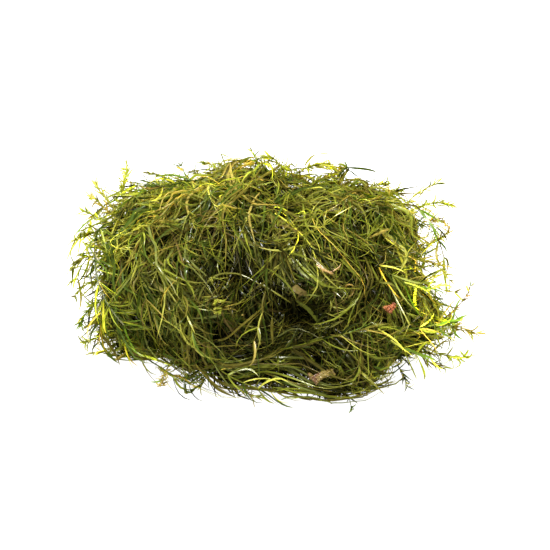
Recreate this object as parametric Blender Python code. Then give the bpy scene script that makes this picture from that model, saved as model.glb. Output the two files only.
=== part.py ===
"""Guppy grass: a heap of loose leafy sprigs on one tangled clump, with a few scraps of dead leaf.

Metres, +Z up. The heap lies on Z = 0, with its long side along X and its front towards -Y.
Every strand is laid over one smooth heap shape, along the way that the strands run there.
"""

import math
import random

import bmesh
import bpy
import numpy as np
from mathutils.bvhtree import BVHTree
from mathutils.kdtree import KDTree

# The heap: its middle, and how far it reaches from there each way
middle = np.array((0.0, -0.0009, 0.040))
reachRight = 0.074
reachLeft = 0.0835
reachFront = 0.060
reachBack = 0.060
reachUp = 0.041
reachDown = 0.056  # how fast it draws in under its middle; the floor cuts it first
planRoundness = 2.3  # 2 is an ellipse, more is squarer
sideRoundness = 2.5

# Swellings and hollows of the heap: azimuth, elevation and width in degrees, then the share of its radius
swellings = (
    (176, 31, 20, 0.08),  # high left shoulder
    (95, 57, 20, 0.13),  # crest
    (25, 10, 18, 0.165),  # right side
    (-16, -10, 16, 0.17),  # skirt at the lower right
    (-27, -22, 25, 0.04),
    (-60, -19, 18, 0.17),  # lip of matted leaves in front
    (-80, 0, 15, -0.09),  # hollow above the lip
    (-151, -40, 21, -0.23),  # drawn in under the front left
    (-175, -30, 15, 0.12),  # foot at the left
    (130, -5, 22, 0.03),
    (60, 10, 25, 0.03),
)

# How the strands run: at an azimuth and elevation, the way in X, Y and Z
strokes = (
    (100, 75, (-0.75, -0.60, -0.10)),
    (160, 50, (-0.80, -0.40, -0.40)),
    (190, 10, (0.00, -0.30, -1.00)),
    (235, 15, (0.05, 0.00, -1.00)),
    (250, 30, (-0.55, -0.20, -0.80)),
    (230, -20, (0.80, -0.30, -0.50)),
    (270, -25, (1.00, 0.00, 0.05)),
    (310, -20, (0.95, 0.40, 0.15)),
    (278, 25, (0.50, 0.00, -0.85)),
    (300, 55, (0.75, -0.10, -0.60)),
    (315, 18, (0.25, 0.00, -0.95)),
    (350, 10, (0.30, -0.50, -0.80)),
    (345, -15, (0.60, 0.80, 0.00)),
    (20, 55, (0.90, 0.10, -0.40)),
    (30, 5, (-0.30, 0.60, -0.70)),
    (75, 20, (-0.50, 0.20, -0.80)),
    (90, -15, (-1.00, 0.00, -0.10)),
    (125, 15, (-0.60, -0.30, -0.70)),
    (150, -10, (-0.70, -0.70, 0.10)),
)
strokeWidth = 24  # degrees over which each is felt
lowestElevation = -25  # where strands stop going down

# The clump: a mound, and its matted locks of stems half sunk in it
moundSink = 0.0026
lockCount = 55
lockLengths = (0.048, 0.080)
lockRadii = (0.0048, 0.0062)
lockSink = 0.0019
lockRootSink = 0.0024  # more than that at the end where it starts
lockTipRise = 0.0042
lockSteps = 5
lockSides = 3
lockTurn = 34
lockElevations = (-18, 80)
lockFloorGap = 0.0004

# The loose sprigs
sprigCount = 36
sprigTries = 40
sprigJitter = (14, 7)  # degrees of azimuth and of elevation
sprigTurn = 32
sprigLengths = (0.044, 0.066)
sprigElevations = (-12, 74)
sprigSteps = 9
sprigHeights = (0.0065, 0.0092)  # of the stems over the heap's surface, in turn
sprigTipHeights = (0.0085, 0.0160)
rootDepth = 0.005
rootShare = 0.2  # of the stem's length, in which it comes out of the clump
stemRadius = 0.00055
stemTipRadius = 0.00035
whorlShares = (0.30, 0.46, 0.62, 0.78, 0.93)  # of the stem's length
whorlSpan = 0.0020
whorlAngles = (0, 84, -84)  # degrees round the stem, from straight up
leafLengths = (0.013, 0.021)
leafOpenings = (24, 46)  # degrees away from the stem
leafTipHeights = (0.0060, 0.0160)  # over the heap's surface
topSettling = 0.45  # how much lower the highest ones lie on the very top
floorGap = 0.0009

pocketRadius = 0.0013  # round a sprig's root in the clump
pocketSides = 4
pocketRings = 4
pocketOverrun = 0.0006
strandClearance = 0.0023  # between the middles of two strands
sampleSpacing = 0.0013

scrapThickness = 0.0005
scrapRings = 6
scrapSides = 6

# Scraps of dead leaf: name, azimuth, elevation, height over the surface, length, width, curl, colour
scraps = (
    ("rust_leaf_scrap", -41, 5, 0.0062, 0.0062, 0.0046, 55, (0.42, 0.13, 0.03)),
    ("brown_leaf_scrap", -69, -15, 0.0058, 0.0125, 0.0052, 70, (0.15, 0.08, 0.03)),
    ("curled_leaf", -109, 11, 0.0062, 0.0130, 0.0030, 250, (0.45, 0.42, 0.05)),
)
twigPlace = (-62.5, 24)
twigTurn = 30
twigHeight = 0.0060
twigLength = 0.0100
twigRadii = (0.0006, 0.0004)
twigRings = 5
twigForks = ((0.28, -70, 0.0022), (0.76, 60, 0.0064))  # share of its length, degrees it turns off, length
twigForkTaper = 0.35

greenColour = (0.16, 0.21, 0.025)
clumpColour = (0.10, 0.125, 0.022)
twigColour = (0.36, 0.27, 0.13)
wetRoughness = 0.35


def towards(azimuth, elevation):
    """The unit direction at these degrees round and above the heap's middle."""
    a, e = np.radians(azimuth), np.radians(elevation)
    return np.stack((np.cos(e) * np.cos(a), np.cos(e) * np.sin(a), np.sin(e)), axis=-1)


def unitOf(vectors):
    return vectors / np.linalg.norm(vectors, axis=-1, keepdims=True)


def angleBetween(units, direction):
    return np.degrees(np.arccos(np.clip(units @ direction, -1, 1)))


def heapRadius(units, sunk=0):
    """How far the heap's surface is from its middle, along each unit direction, less what is sunk."""
    x, y, z = units[..., 0], units[..., 1], units[..., 2]
    across = np.abs(x) / np.where(x > 0, reachRight, reachLeft)
    along = np.abs(y) / np.where(y > 0, reachBack, reachFront)
    upright = np.abs(z) / np.where(z > 0, reachUp, reachDown)
    plan = (across**planRoundness + along**planRoundness) ** (sideRoundness / planRoundness)
    radius = (plan + upright**sideRoundness) ** (-1 / sideRoundness)
    for azimuth, elevation, width, share in swellings:
        angle = angleBetween(units, towards(azimuth, elevation))
        radius = radius * (1 + share * np.exp(-((angle / width) ** 2)))
    return np.minimum(radius - sunk, middle[2] / np.maximum(-z, 1e-6))


def surfaceAt(units):
    return middle + units * heapRadius(units)[..., None]


def normalAt(units):
    """The outward normal of the heap's surface, from short steps over it."""
    step = 0.03
    side = unitOf(np.cross(units, (0, 0, 1)) + (1e-9, 0, 0))
    rise = np.cross(side, units)
    acrossWay = surfaceAt(unitOf(units + side * step)) - surfaceAt(unitOf(units - side * step))
    upWay = surfaceAt(unitOf(units + rise * step)) - surfaceAt(unitOf(units - rise * step))
    return unitOf(np.cross(upWay, acrossWay))


def flattened(ways, normals):
    """The ways laid into the surface with these normals."""
    return unitOf(ways - normals * (ways * normals).sum(axis=-1, keepdims=True))


def strandWay(units, normals):
    """The way that the strands run on the surface there."""
    total = np.zeros_like(units)
    for azimuth, elevation, way in strokes:
        angle = angleBetween(units, towards(azimuth, elevation))
        total = total + np.exp(-((angle / strokeWidth) ** 2))[..., None] * unitOf(np.array(way))
    return flattened(total, normals)


def turned(ways, normals, degrees):
    """The ways turned in the surface, anticlockwise seen from outside."""
    angle = np.radians(degrees)[..., None]
    return ways * np.cos(angle) + np.cross(normals, ways) * np.sin(angle)


def layStrand(start, length, turn, bend, heights, lowest):
    """The points of one strand over the heap, and the surface's normal at each.

    turn and bend are the degrees that it is off the strands' way at its start and gains by its end.
    There is one of heights, over the surface, for each point, and no point is under lowest.
    """
    points, normals = [], []
    unit, ahead = start, None
    lastStep = len(heights) - 1
    for step, height in enumerate(heights):
        normal = normalAt(unit)
        way = turned(strandWay(unit, normal), normal, np.array(turn + bend * step / lastStep))
        ahead = way if ahead is None else flattened(0.55 * ahead + 0.45 * way, normal)
        point = surfaceAt(unit) + normal * height
        point[2] = max(point[2], lowest)
        points.append(point)
        normals.append(normal)
        unit = unitOf(surfaceAt(unit) + ahead * length / lastStep - middle)
        unit[2] = max(unit[2], math.sin(math.radians(lowestElevation)))
        unit = unitOf(unit)
    return np.array(points), np.array(normals)


def spreadOut(index, count, elevations):
    """One of the directions spread evenly over the heap between two elevations, by the golden angle."""
    low, high = (math.sin(math.radians(limit)) for limit in elevations)
    elevation = math.degrees(math.asin(low + (high - low) * (index + 0.5) / count))
    return index * 137.508, elevation


def smoothStep(low, high, value):
    share = min(max((value - low) / (high - low), 0.0), 1.0)
    return share * share * (3 - 2 * share)


def placeOn(points, normals, share):
    """The point, the way ahead and the normal at a share of a strand."""
    place = share * (len(points) - 1)
    index = min(int(place), len(points) - 2)
    ahead = unitOf(points[index + 1] - points[index])
    point = points[index] + (points[index + 1] - points[index]) * (place - index)
    normal = normals[index] + (normals[index + 1] - normals[index]) * (place - index)
    return point, ahead, flattened(normal, ahead)


def settled(point, heights, lowest):
    """The point moved to between two heights over the heap, and no lower than the floor allows."""
    outward = point - middle
    unit = unitOf(outward)
    radius = heapRadius(unit)
    highest = heights[1] * (1 - topSettling * max(unit[2], 0))
    point = middle + unit * min(max(np.linalg.norm(outward), radius + heights[0]), radius + highest)
    point[2] = max(point[2], lowest)
    return point


def planLeaf(draw, share, point, ahead, outward):
    """One leaf of a sprig: where it grows and its tip."""
    opening = math.radians(draw.uniform(*leafOpenings))
    way = ahead * math.cos(opening) + outward * math.sin(opening)
    tip = settled(point + way * draw.uniform(*leafLengths), leafTipHeights, floorGap)
    return {"share": share, "outward": outward, "root": point, "tip": tip}


def planSprig(index, attempt):
    """A sprig: a stem that comes up out of the clump and lifts at its tip, and its whorls of leaves."""
    draw = random.Random(f"sprig {index} {attempt}")
    azimuth, elevation = spreadOut(index, sprigCount, sprigElevations)
    azimuth += draw.uniform(-sprigJitter[0], sprigJitter[0])
    start = towards(azimuth, elevation + draw.uniform(-sprigJitter[1], sprigJitter[1]))
    tipHeight = draw.uniform(*sprigTipHeights) * (1 - topSettling * max(start[2], 0))
    stemHeight = sprigHeights[index % len(sprigHeights)]
    heights = []
    for step in range(sprigSteps + 1):
        share = step / sprigSteps
        height = smoothStep(0, rootShare, share) * (rootDepth + stemHeight) - rootDepth
        heights.append(height + smoothStep(0.5, 1, share) * (tipHeight - stemHeight))
    length = draw.uniform(*sprigLengths)
    turn, bend = draw.uniform(-sprigTurn, sprigTurn), draw.uniform(-sprigTurn, sprigTurn)
    points, normals = layStrand(start, length, turn, bend, heights, floorGap + stemRadius)
    leaves = []
    for share in whorlShares:
        point, ahead, up = placeOn(points, normals, share)
        twist = draw.uniform(-14, 14)
        for angle in whorlAngles:
            outward = turned(up, ahead, np.array(angle + twist))
            leaves.append(planLeaf(draw, share, point, ahead, outward))
    return {"points": points, "normals": normals, "leaves": leaves}


def samplesOf(sprig):
    """Points along a sprig's stem and leaves."""
    lines = list(zip(sprig["points"], sprig["points"][1:]))
    lines += [(leaf["root"], leaf["tip"]) for leaf in sprig["leaves"]]
    samples = []
    for first, last in lines:
        count = max(2, math.ceil(np.linalg.norm(last - first) / sampleSpacing))
        samples.append(first + (last - first) * np.linspace(0, 1, count)[:, None])
    return np.concatenate(samples)


def laySprigs(taken):
    """Lays the sprigs one by one, each in the first of its places that clears all before it."""
    laid = []
    for index in range(sprigCount):
        tree = KDTree(len(taken))
        for number, point in enumerate(taken):
            tree.insert(point, number)
        tree.balance()
        for attempt in range(sprigTries):
            sprig = planSprig(index, attempt)
            samples = samplesOf(sprig)
            if any(tree.find(sample)[2] < strandClearance for sample in samples):
                continue
            form = shapeSprig(sprig)
            if not crossesItself(form):
                laid.append({**sprig, "form": form})
                taken = np.concatenate((taken, samples))
                break
            form.free()
    return laid


def ringAt(point, ahead, up, radius, sides, start=0, flatness=1):
    """The corners of one ring round a strand, the first at start degrees from up."""
    side = np.cross(ahead, up)
    angles = np.radians(start + 360 * np.arange(sides) / sides)[:, None]
    return point + (up * np.cos(angles) * flatness + side * np.sin(angles)) * radius


def startStrand(bm, corners):
    """A strand's first ring. Its face becomes the cap that the strand grows from."""
    verts = [bm.verts.new(corner) for corner in corners]
    return bm.faces.new(verts), verts


def growStrand(bm, cap, corners):
    """Draws the cap out to new corners. Gives the new cap and the faces behind it."""
    cap = bmesh.ops.extrude_discrete_faces(bm, faces=[cap])["faces"][0]
    verts = list(cap.verts)
    for vert, corner in zip(verts, corners):
        vert.co = corner
    return cap, [face for edge in cap.edges for face in edge.link_faces if face is not cap]


def closeStrand(bm, firstRing):
    bm.faces.new(firstRing[::-1])


def addStrand(bm, points, normals, radii, sides, flatness=1):
    """A closed strand through the points."""
    cap = None
    for index, radius in enumerate(radii):
        _, ahead, up = placeOn(points, normals, index / (len(points) - 1))
        corners = ringAt(points[index], ahead, up, radius, sides, 0, flatness)
        if cap is None:
            cap, firstRing = startStrand(bm, corners)
        else:
            cap, _ = growStrand(bm, cap, corners)
    closeStrand(bm, firstRing)


def meshFrom(name, bm):
    """A mesh with its faces pointing out, from a bmesh."""
    bmesh.ops.recalc_face_normals(bm, faces=bm.faces[:])
    if bm.calc_volume(signed=True) < 0:
        bmesh.ops.reverse_faces(bm, faces=bm.faces[:])
    mesh = bpy.data.meshes.new(name)
    bm.to_mesh(mesh)
    bm.free()
    return mesh


def makeObject(name, mesh, colour):
    """A piece of the model, with its own material."""
    material = bpy.data.materials.new(name)
    material.use_nodes = True
    shader = material.node_tree.nodes["Principled BSDF"]
    shader.inputs["Base Color"].default_value = (*colour, 1)
    shader.inputs["Roughness"].default_value = wetRoughness
    shader.inputs["Metallic"].default_value = 0
    mesh.materials.append(material)
    made = bpy.data.objects.new(name, mesh)
    bpy.context.scene.collection.objects.link(made)
    return made


def shapeSprig(sprig):
    """A three-sided stem, with whorls of leaves drawn out of its faces, as a bmesh of triangles."""
    points, normals = sprig["points"], sprig["normals"]
    length = np.linalg.norm(np.diff(points, axis=0), axis=1).sum()
    halfSpan = whorlSpan / 2 / length
    whorlEnds = {share + halfSpan: share for share in whorlShares}
    stops = [0, rootShare / 2, rootShare, 1]
    stops += [(low + high) / 2 for low, high in zip(whorlShares, whorlShares[1:])]
    stops += [share - halfSpan for share in whorlShares] + list(whorlEnds)
    bm = bmesh.new()
    cap, free = None, {}
    for stop in sorted(stops):
        point, ahead, up = placeOn(points, normals, stop)
        corners = ringAt(point, ahead, up, stemRadius + (stemTipRadius - stemRadius) * stop, 3, 60)
        if cap is None:
            cap, firstRing = startStrand(bm, corners)
            continue
        cap, sides = growStrand(bm, cap, corners)
        if stop in whorlEnds:
            free[whorlEnds[stop]] = sides
    closeStrand(bm, firstRing)
    for leaf in sprig["leaves"]:
        sides = free[leaf["share"]]
        facing = [(np.array(side.calc_center_median()) - leaf["root"]) @ leaf["outward"] for side in sides]
        side = sides.pop(int(np.argmax(facing)))
        bmesh.ops.poke(bm, faces=[side])["verts"][0].co = leaf["tip"]
    bmesh.ops.triangulate(bm, faces=bm.faces[:])
    return bm


def crossesItself(bm):
    """Whether any two of the triangles cross that have no corner in common."""
    tree = BVHTree.FromBMesh(bm)
    bm.faces.ensure_lookup_table()
    for first, second in tree.overlap(tree):
        if not set(bm.faces[first].verts) & set(bm.faces[second].verts):
            return True
    return False


def makeScrap(name, azimuth, elevation, height, length, width, curl, colour):
    """A scrap of dead leaf: a thin blade curled along its length, over the surface."""
    unit = towards(azimuth, elevation)
    normal = normalAt(unit)
    ahead = strandWay(unit, normal)
    angles = np.radians(curl) * (np.linspace(0, 1, scrapRings)[:, None] - 0.5)
    runs = (ahead * np.cos(angles) - normal * np.sin(angles)) * length / scrapRings
    points = surfaceAt(unit) + normal * height + np.cumsum(runs, axis=0) - runs.sum(axis=0) / 2
    normals = ahead * np.sin(angles) + normal * np.cos(angles)
    radii = width / 2 * np.sin(np.pi * np.linspace(0.12, 0.92, scrapRings)) ** 0.6
    bm = bmesh.new()
    addStrand(bm, points, normals, radii, scrapSides, scrapThickness / width)
    makeObject(name, meshFrom(name, bm), colour)
    return points


def makeTwig():
    """A dead twig with a stub on one side and a fork on the other."""
    unit = towards(*twigPlace)
    normal = normalAt(unit)
    ahead = turned(strandWay(unit, normal), normal, np.array(twigTurn))
    sideways = np.cross(normal, ahead)
    run = ahead * twigLength * (np.linspace(0, 1, twigRings)[:, None] - 0.5)
    points = surfaceAt(unit) + normal * twigHeight + run
    normals = np.repeat(normal[None], twigRings, axis=0)
    bm = bmesh.new()
    addStrand(bm, points, normals, np.linspace(*twigRadii, twigRings), 4)
    taken = [points]
    for share, angle, length in twigForks:
        root, _, _ = placeOn(points, normals, share)
        outward = root + sideways * math.copysign(twigRadii[0], angle)
        offsets = [np.array(face.calc_center_median()) - outward for face in bm.faces]
        nearest = bm.faces[:][int(np.argmin(np.linalg.norm(offsets, axis=1)))]
        fork = bmesh.ops.extrude_discrete_faces(bm, faces=[nearest])["faces"][0]
        end = root + turned(ahead, normal, np.array(angle)) * length
        for vert in fork.verts:
            vert.co = end + (np.array(vert.co) - root) * twigForkTaper
        taken.append(root + (end - root) * np.linspace(0, 1, twigRings)[:, None])
    makeObject("forked_twig", meshFrom("forked_twig", bm), twigColour)
    return np.concatenate(taken)


def makeLocks(collection):
    """The matted locks that are joined to the clump."""
    for index in range(lockCount):
        draw = random.Random(f"lock {index}")
        start = towards(*spreadOut(index + 0.4, lockCount, lockElevations))
        radius = draw.uniform(*lockRadii)
        shares = np.linspace(0, 1, lockSteps + 1)
        heights = []
        for share in shares:
            rise = lockTipRise * smoothStep(0.6, 1, share) - lockRootSink * (1 - smoothStep(0, 0.3, share))
            heights.append(rise - lockSink)
        turn, bend = draw.uniform(-lockTurn, lockTurn), draw.uniform(-lockTurn, lockTurn)
        lowest = radius * 0.5 + lockFloorGap
        points, normals = layStrand(start, draw.uniform(*lockLengths), turn, bend, heights, lowest)
        bm = bmesh.new()
        addStrand(bm, points, normals, radius * np.sin(np.pi * (0.14 + 0.83 * shares)) ** 0.8, lockSides)
        name = f"lock_{index + 1:02d}"
        collection.objects.link(bpy.data.objects.new(name, meshFrom(name, bm)))


def makePockets(collection, sprigs):
    """The hollows that the sprigs' roots leave in the clump."""
    for index, sprig in enumerate(sprigs):
        points, normals = sprig["points"][:pocketRings].copy(), sprig["normals"][:pocketRings]
        points[0] -= unitOf(points[1] - points[0]) * pocketOverrun
        bm = bmesh.new()
        addStrand(bm, points, normals, np.full(pocketRings, pocketRadius), pocketSides)
        name = f"pocket_{index + 1:02d}"
        collection.objects.link(bpy.data.objects.new(name, meshFrom(name, bm)))


def keepLargest(bm):
    """Drops the crumbs that the hollows cut loose, and keeps the largest body."""
    left, bodies = set(bm.verts), []
    while left:
        body, edge = set(), [left.pop()]
        while edge:
            vert = edge.pop()
            body.add(vert)
            found = [link.other_vert(vert) for link in vert.link_edges]
            edge += [other for other in found if other in left]
            left.difference_update(found)
        bodies.append(body)
    bodies.sort(key=len)
    crumbs = [vert for body in bodies[:-1] for vert in body]
    bmesh.ops.delete(bm, geom=crumbs, context="VERTS")


def makeClump(sprigs):
    """The tangled clump: a mound with its locks joined on, and a hollow round each sprig's root."""
    bm = bmesh.new()
    bmesh.ops.create_icosphere(bm, subdivisions=3, radius=1)
    for vert in bm.verts:
        unit = unitOf(np.array(vert.co))
        vert.co = middle + unit * heapRadius(unit, moundSink)
    clump = makeObject("tangled_clump", meshFrom("tangled_clump", bm), clumpColour)
    locks = bpy.data.collections.new("locks")
    pockets = bpy.data.collections.new("pockets")
    makeLocks(locks)
    makePockets(pockets, sprigs)
    for group, operation in ((locks, "UNION"), (pockets, "DIFFERENCE")):
        boolean = clump.modifiers.new(group.name, "BOOLEAN")
        boolean.operation = operation
        boolean.operand_type = "COLLECTION"
        boolean.collection = group
    bm = bmesh.new()
    bm.from_mesh(clump.evaluated_get(bpy.context.evaluated_depsgraph_get()).data)
    keepLargest(bm)
    clump.modifiers.clear()
    bm.to_mesh(clump.data)
    bm.free()
    for helper in (*locks.objects, *pockets.objects):
        bpy.data.objects.remove(helper)


def main():
    for old in list(bpy.data.objects):
        bpy.data.objects.remove(old)
    taken = [makeScrap(*scrap) for scrap in scraps] + [makeTwig()]
    sprigs = laySprigs(np.concatenate(taken))
    for index, sprig in enumerate(sprigs):
        name = f"sprig_{index + 1:02d}"
        makeObject(name, meshFrom(name, sprig["form"]), greenColour)
    makeClump(sprigs)


main()
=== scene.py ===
import math
import random

import bmesh
import bpy
import numpy as np
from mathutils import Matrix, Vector


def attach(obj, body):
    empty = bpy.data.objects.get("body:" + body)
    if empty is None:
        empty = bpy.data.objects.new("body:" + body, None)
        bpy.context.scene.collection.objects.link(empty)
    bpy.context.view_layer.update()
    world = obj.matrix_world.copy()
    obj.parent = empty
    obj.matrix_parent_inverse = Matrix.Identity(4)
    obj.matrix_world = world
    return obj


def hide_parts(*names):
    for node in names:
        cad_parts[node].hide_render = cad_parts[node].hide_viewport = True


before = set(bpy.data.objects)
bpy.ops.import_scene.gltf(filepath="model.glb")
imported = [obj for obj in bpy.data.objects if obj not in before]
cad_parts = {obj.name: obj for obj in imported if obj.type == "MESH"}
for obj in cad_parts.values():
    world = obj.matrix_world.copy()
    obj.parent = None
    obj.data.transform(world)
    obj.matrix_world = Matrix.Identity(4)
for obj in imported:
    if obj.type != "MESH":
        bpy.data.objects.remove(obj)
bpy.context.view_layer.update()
print("frame loaded", len(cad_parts), "nodes")

# The heap's smooth shape and the way its strands run, the same as in the solids

heap = {
    "middle": np.array((0.0, -0.0009, 0.040)),
    "right": 0.074,
    "left": 0.0835,
    "front": 0.060,
    "back": 0.060,
    "up": 0.041,
    "down": 0.056,  # how fast it draws in under its middle; the floor cuts it first
    "planRoundness": 2.3,  # 2 is an ellipse, more is squarer
    "sideRoundness": 2.5,
    "strokeWidth": 24,  # degrees over which a stroke is felt
    "lowestElevation": -25,  # where strands stop going down
    "inertia": (0.55, 0.45),  # shares of a strand's own way and of the way around it
}

swellings = (  # azimuth, elevation and width in degrees, share of the radius
    (176, 31, 20, 0.08),  # high left shoulder
    (95, 57, 20, 0.13),  # crest
    (25, 10, 18, 0.165),  # right side
    (-16, -10, 16, 0.17),  # skirt at the lower right
    (-27, -22, 25, 0.04),
    (-60, -19, 18, 0.17),  # lip of matted leaves in front
    (-80, 0, 15, -0.09),  # hollow above the lip
    (-151, -40, 21, -0.23),  # drawn in under the front left
    (-175, -30, 15, 0.12),  # foot at the left
    (130, -5, 22, 0.03),
    (60, 10, 25, 0.03),
)

strokes = (  # azimuth, elevation, and the way the strands run there
    (100, 75, (-0.75, -0.60, -0.10)),
    (160, 50, (-0.80, -0.40, -0.40)),
    (190, 10, (0.00, -0.30, -1.00)),
    (235, 15, (0.05, 0.00, -1.00)),
    (250, 30, (-0.55, -0.20, -0.80)),
    (230, -20, (0.80, -0.30, -0.50)),
    (270, -25, (1.00, 0.00, 0.05)),
    (310, -20, (0.95, 0.40, 0.15)),
    (278, 25, (0.50, 0.00, -0.85)),
    (300, 55, (0.75, -0.10, -0.60)),
    (315, 18, (0.25, 0.00, -0.95)),
    (350, 10, (0.30, -0.50, -0.80)),
    (345, -15, (0.60, 0.80, 0.00)),
    (20, 55, (0.90, 0.10, -0.40)),
    (30, 5, (-0.30, 0.60, -0.70)),
    (75, 20, (-0.50, 0.20, -0.80)),
    (90, -15, (-1.00, 0.00, -0.10)),
    (125, 15, (-0.60, -0.30, -0.70)),
    (150, -10, (-0.70, -0.70, 0.10)),
)


def towards(azimuth, elevation):  # unit direction from the heap's middle
    a, e = np.radians(azimuth), np.radians(elevation)
    return np.stack((np.cos(e) * np.cos(a), np.cos(e) * np.sin(a), np.sin(e)), axis=-1)


def unitOf(vectors):
    return vectors / np.linalg.norm(vectors, axis=-1, keepdims=True)


def angleBetween(units, direction):
    return np.degrees(np.arccos(np.clip(units @ direction, -1, 1)))


def heapRadius(units):  # how far the surface is from the middle
    x, y, z = units[..., 0], units[..., 1], units[..., 2]
    across = np.abs(x) / np.where(x > 0, heap["right"], heap["left"])
    along = np.abs(y) / np.where(y > 0, heap["back"], heap["front"])
    upright = np.abs(z) / np.where(z > 0, heap["up"], heap["down"])
    power = heap["sideRoundness"] / heap["planRoundness"]
    plan = (across ** heap["planRoundness"] + along ** heap["planRoundness"]) ** power
    radius = (plan + upright ** heap["sideRoundness"]) ** (-1 / heap["sideRoundness"])
    for azimuth, elevation, width, share in swellings:
        angle = angleBetween(units, towards(azimuth, elevation))
        radius = radius * (1 + share * np.exp(-((angle / width) ** 2)))
    return np.minimum(radius, heap["middle"][2] / np.maximum(-z, 1e-6))


def surfaceAt(units):
    return heap["middle"] + units * heapRadius(units)[..., None]


def normalAt(units):
    step = 0.03
    side = unitOf(np.cross(units, (0, 0, 1)) + (1e-9, 0, 0))
    rise = np.cross(side, units)
    acrossWay = surfaceAt(unitOf(units + side * step)) - surfaceAt(unitOf(units - side * step))
    upWay = surfaceAt(unitOf(units + rise * step)) - surfaceAt(unitOf(units - rise * step))
    return unitOf(np.cross(upWay, acrossWay))


def flattened(ways, normals):  # laid into the surface
    return unitOf(ways - normals * (ways * normals).sum(axis=-1, keepdims=True))


def strandWay(units, normals):
    total = np.zeros_like(units)
    for azimuth, elevation, way in strokes:
        angle = angleBetween(units, towards(azimuth, elevation))
        total = total + np.exp(-((angle / heap["strokeWidth"]) ** 2))[..., None] * unitOf(np.array(way))
    return flattened(total, normals)


def turned(ways, normals, degrees):  # anticlockwise seen from outside
    angle = np.radians(degrees)[..., None]
    return ways * np.cos(angle) + np.cross(normals, ways) * np.sin(angle)


def layStrand(start, length, turn, bend, heights, lowest, wayAt=strandWay, rise=0):  # one or many
    points, normals = [], []
    unit, ahead = start, None
    own, around = heap["inertia"]
    lastStep = len(heights) - 1
    for step, height in enumerate(heights):
        normal = normalAt(unit)
        way = turned(wayAt(unit, normal), normal, np.array(turn + bend * step / lastStep))
        ahead = way if ahead is None else flattened(own * ahead + around * way, normal)
        point = surfaceAt(unit) + normal * height
        point[..., 2] = np.maximum(point[..., 2], lowest)
        points.append(point)
        normals.append(normal)
        unit = unitOf(surfaceAt(unit) + ahead * length / lastStep - heap["middle"])
        unit[..., 2] = np.maximum(unit[..., 2], np.sin(np.radians(heap["lowestElevation"] + rise)))
        unit = unitOf(unit)
    return np.array(points), np.array(normals)


def heightsOver(points):  # over the heap's surface, and the direction from its middle
    outward = points - heap["middle"]
    distance = np.linalg.norm(outward, axis=-1)
    units = outward / distance[..., None]
    return distance - heapRadius(units), units


# The tangle's own relief over the smooth heap, and the light and shade painted on it from place to place

lumps = {"seed": 21, "waves": 12, "lengths": (0.018, 0.044), "size": 0.0026}
swirl = {"seed": 44, "waves": 9, "lengths": (0.030, 0.070), "size": 15}  # degrees strands turn together

hollows = (  # azimuth, elevation and width in degrees, depth
    (-72, -1, 11, 0.017),  # dark gap over the front lip
    (-86, 12, 8, 0.007),
    (-99, 26, 9, 0.008),
    (-88, 46, 6, 0.004),
    (-118, 4, 6, 0.004),
    (-48, 24, 7, 0.004),
    (-140, 30, 7, 0.004),
    (75, 10, 9, 0.006),
    (130, 25, 8, 0.006),
    (10, 35, 7, 0.004),
)

insets = (  # where all the strands lie deeper or higher and stay as bright
    (-142, -28, 16, 0.006),
    (-112, -28, 12, -0.002),
    (-70, -24, 14, -0.003),
    (180, -5, 32, 0.014),
    (0, -2, 26, 0.014),
    (-22, -22, 18, 0.003),
    (48, 46, 20, 0.008),
    (155, 45, 18, 0.004),
    (110, 62, 16, -0.002),
    (90, 0, 40, 0.004),
)

paintedLightSpots = (  # painted light and shade: azimuth, elevation and width in degrees, brightness
    (-74, 2, 10, 0.08),  # the black gap, painted shade
    (-66, -7, 7, 0.60),
    (-58, 3, 7, 1.45),
    (-33, 0, 10, 1.30),
    (-45, -12, 9, 1.30),
    (-70, 31, 8, 0.78),
    (-80, 47, 14, 0.72),
    (-33, 12, 7, 0.75),
    (-115, 3, 8, 1.25),
    (-130, -13, 9, 1.20),
    (-146, 22, 9, 0.80),
    (-130, 14, 8, 0.85),
    (-87, -28, 10, 0.80),
    (90, 60, 20, 1.30),
    (-84, 14, 9, 0.75),
    (-101, 30, 12, 0.75),
    (-86, 48, 8, 0.85),
    (-45, 8, 9, 0.85),
    (-150, -12, 22, 1.45),
    (-26, -14, 20, 1.60),
    (180, 8, 34, 1.50),
    (0, 8, 30, 1.50),
    (-60, 30, 12, 1.10),
    (-40, 62, 22, 1.35),
    (180, 35, 25, 1.20),
    (-25, 15, 16, 1.10),
    (75, 10, 14, 0.60),
    (130, 25, 12, 0.65),
)

gaps = (  # painted shade in the gaps: azimuth, elevation and width in degrees, brightness of what lies deep there
    (-118, 27, 5, 0.20),
    (-91, 19, 6, 0.20),
    (-104, 20, 4, 0.60),
    (-72, 1, 7, 0.15),
    (-98, -24, 6, 0.30),
    (-58, -7, 5, 0.30),
    (-87, -8, 5, 0.40),
    (-132, 32, 4, 0.30),
    (-95, 43, 5, 0.35),
    (-77, 14, 5, 0.30),
    (-34, 30, 5, 0.40),
    (-44, 37, 4, 0.40),
    (-147, 5, 5, 0.45),
    (-136, 1, 5, 0.45),
    (-63, 48, 5, 0.45),
    (-142, -11, 5, 0.45),
    (-33, 20, 4, 0.40),
    (60, 25, 7, 0.40),
    (100, 30, 8, 0.35),
    (150, 15, 7, 0.40),
    (25, 15, 6, 0.40),
)


def spotted(units, spots):  # the sum of round spots
    total = np.zeros(units.shape[:-1])
    for azimuth, elevation, width, value in spots:
        total = total + value * np.exp(-((angleBetween(units, towards(azimuth, elevation)) / width) ** 2))
    return total


def waving(points, spec):  # the sum of waves in all directions
    draw = np.random.default_rng(spec["seed"])
    total = np.zeros(points.shape[:-1])
    for _ in range(spec["waves"]):
        way = unitOf(draw.normal(0, 1, 3)) * 2 * math.pi / draw.uniform(*spec["lengths"])
        total = total + np.sin(points @ way + draw.uniform(0, 2 * math.pi))
    return total * spec["size"] * math.sqrt(2 / spec["waves"])


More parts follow.
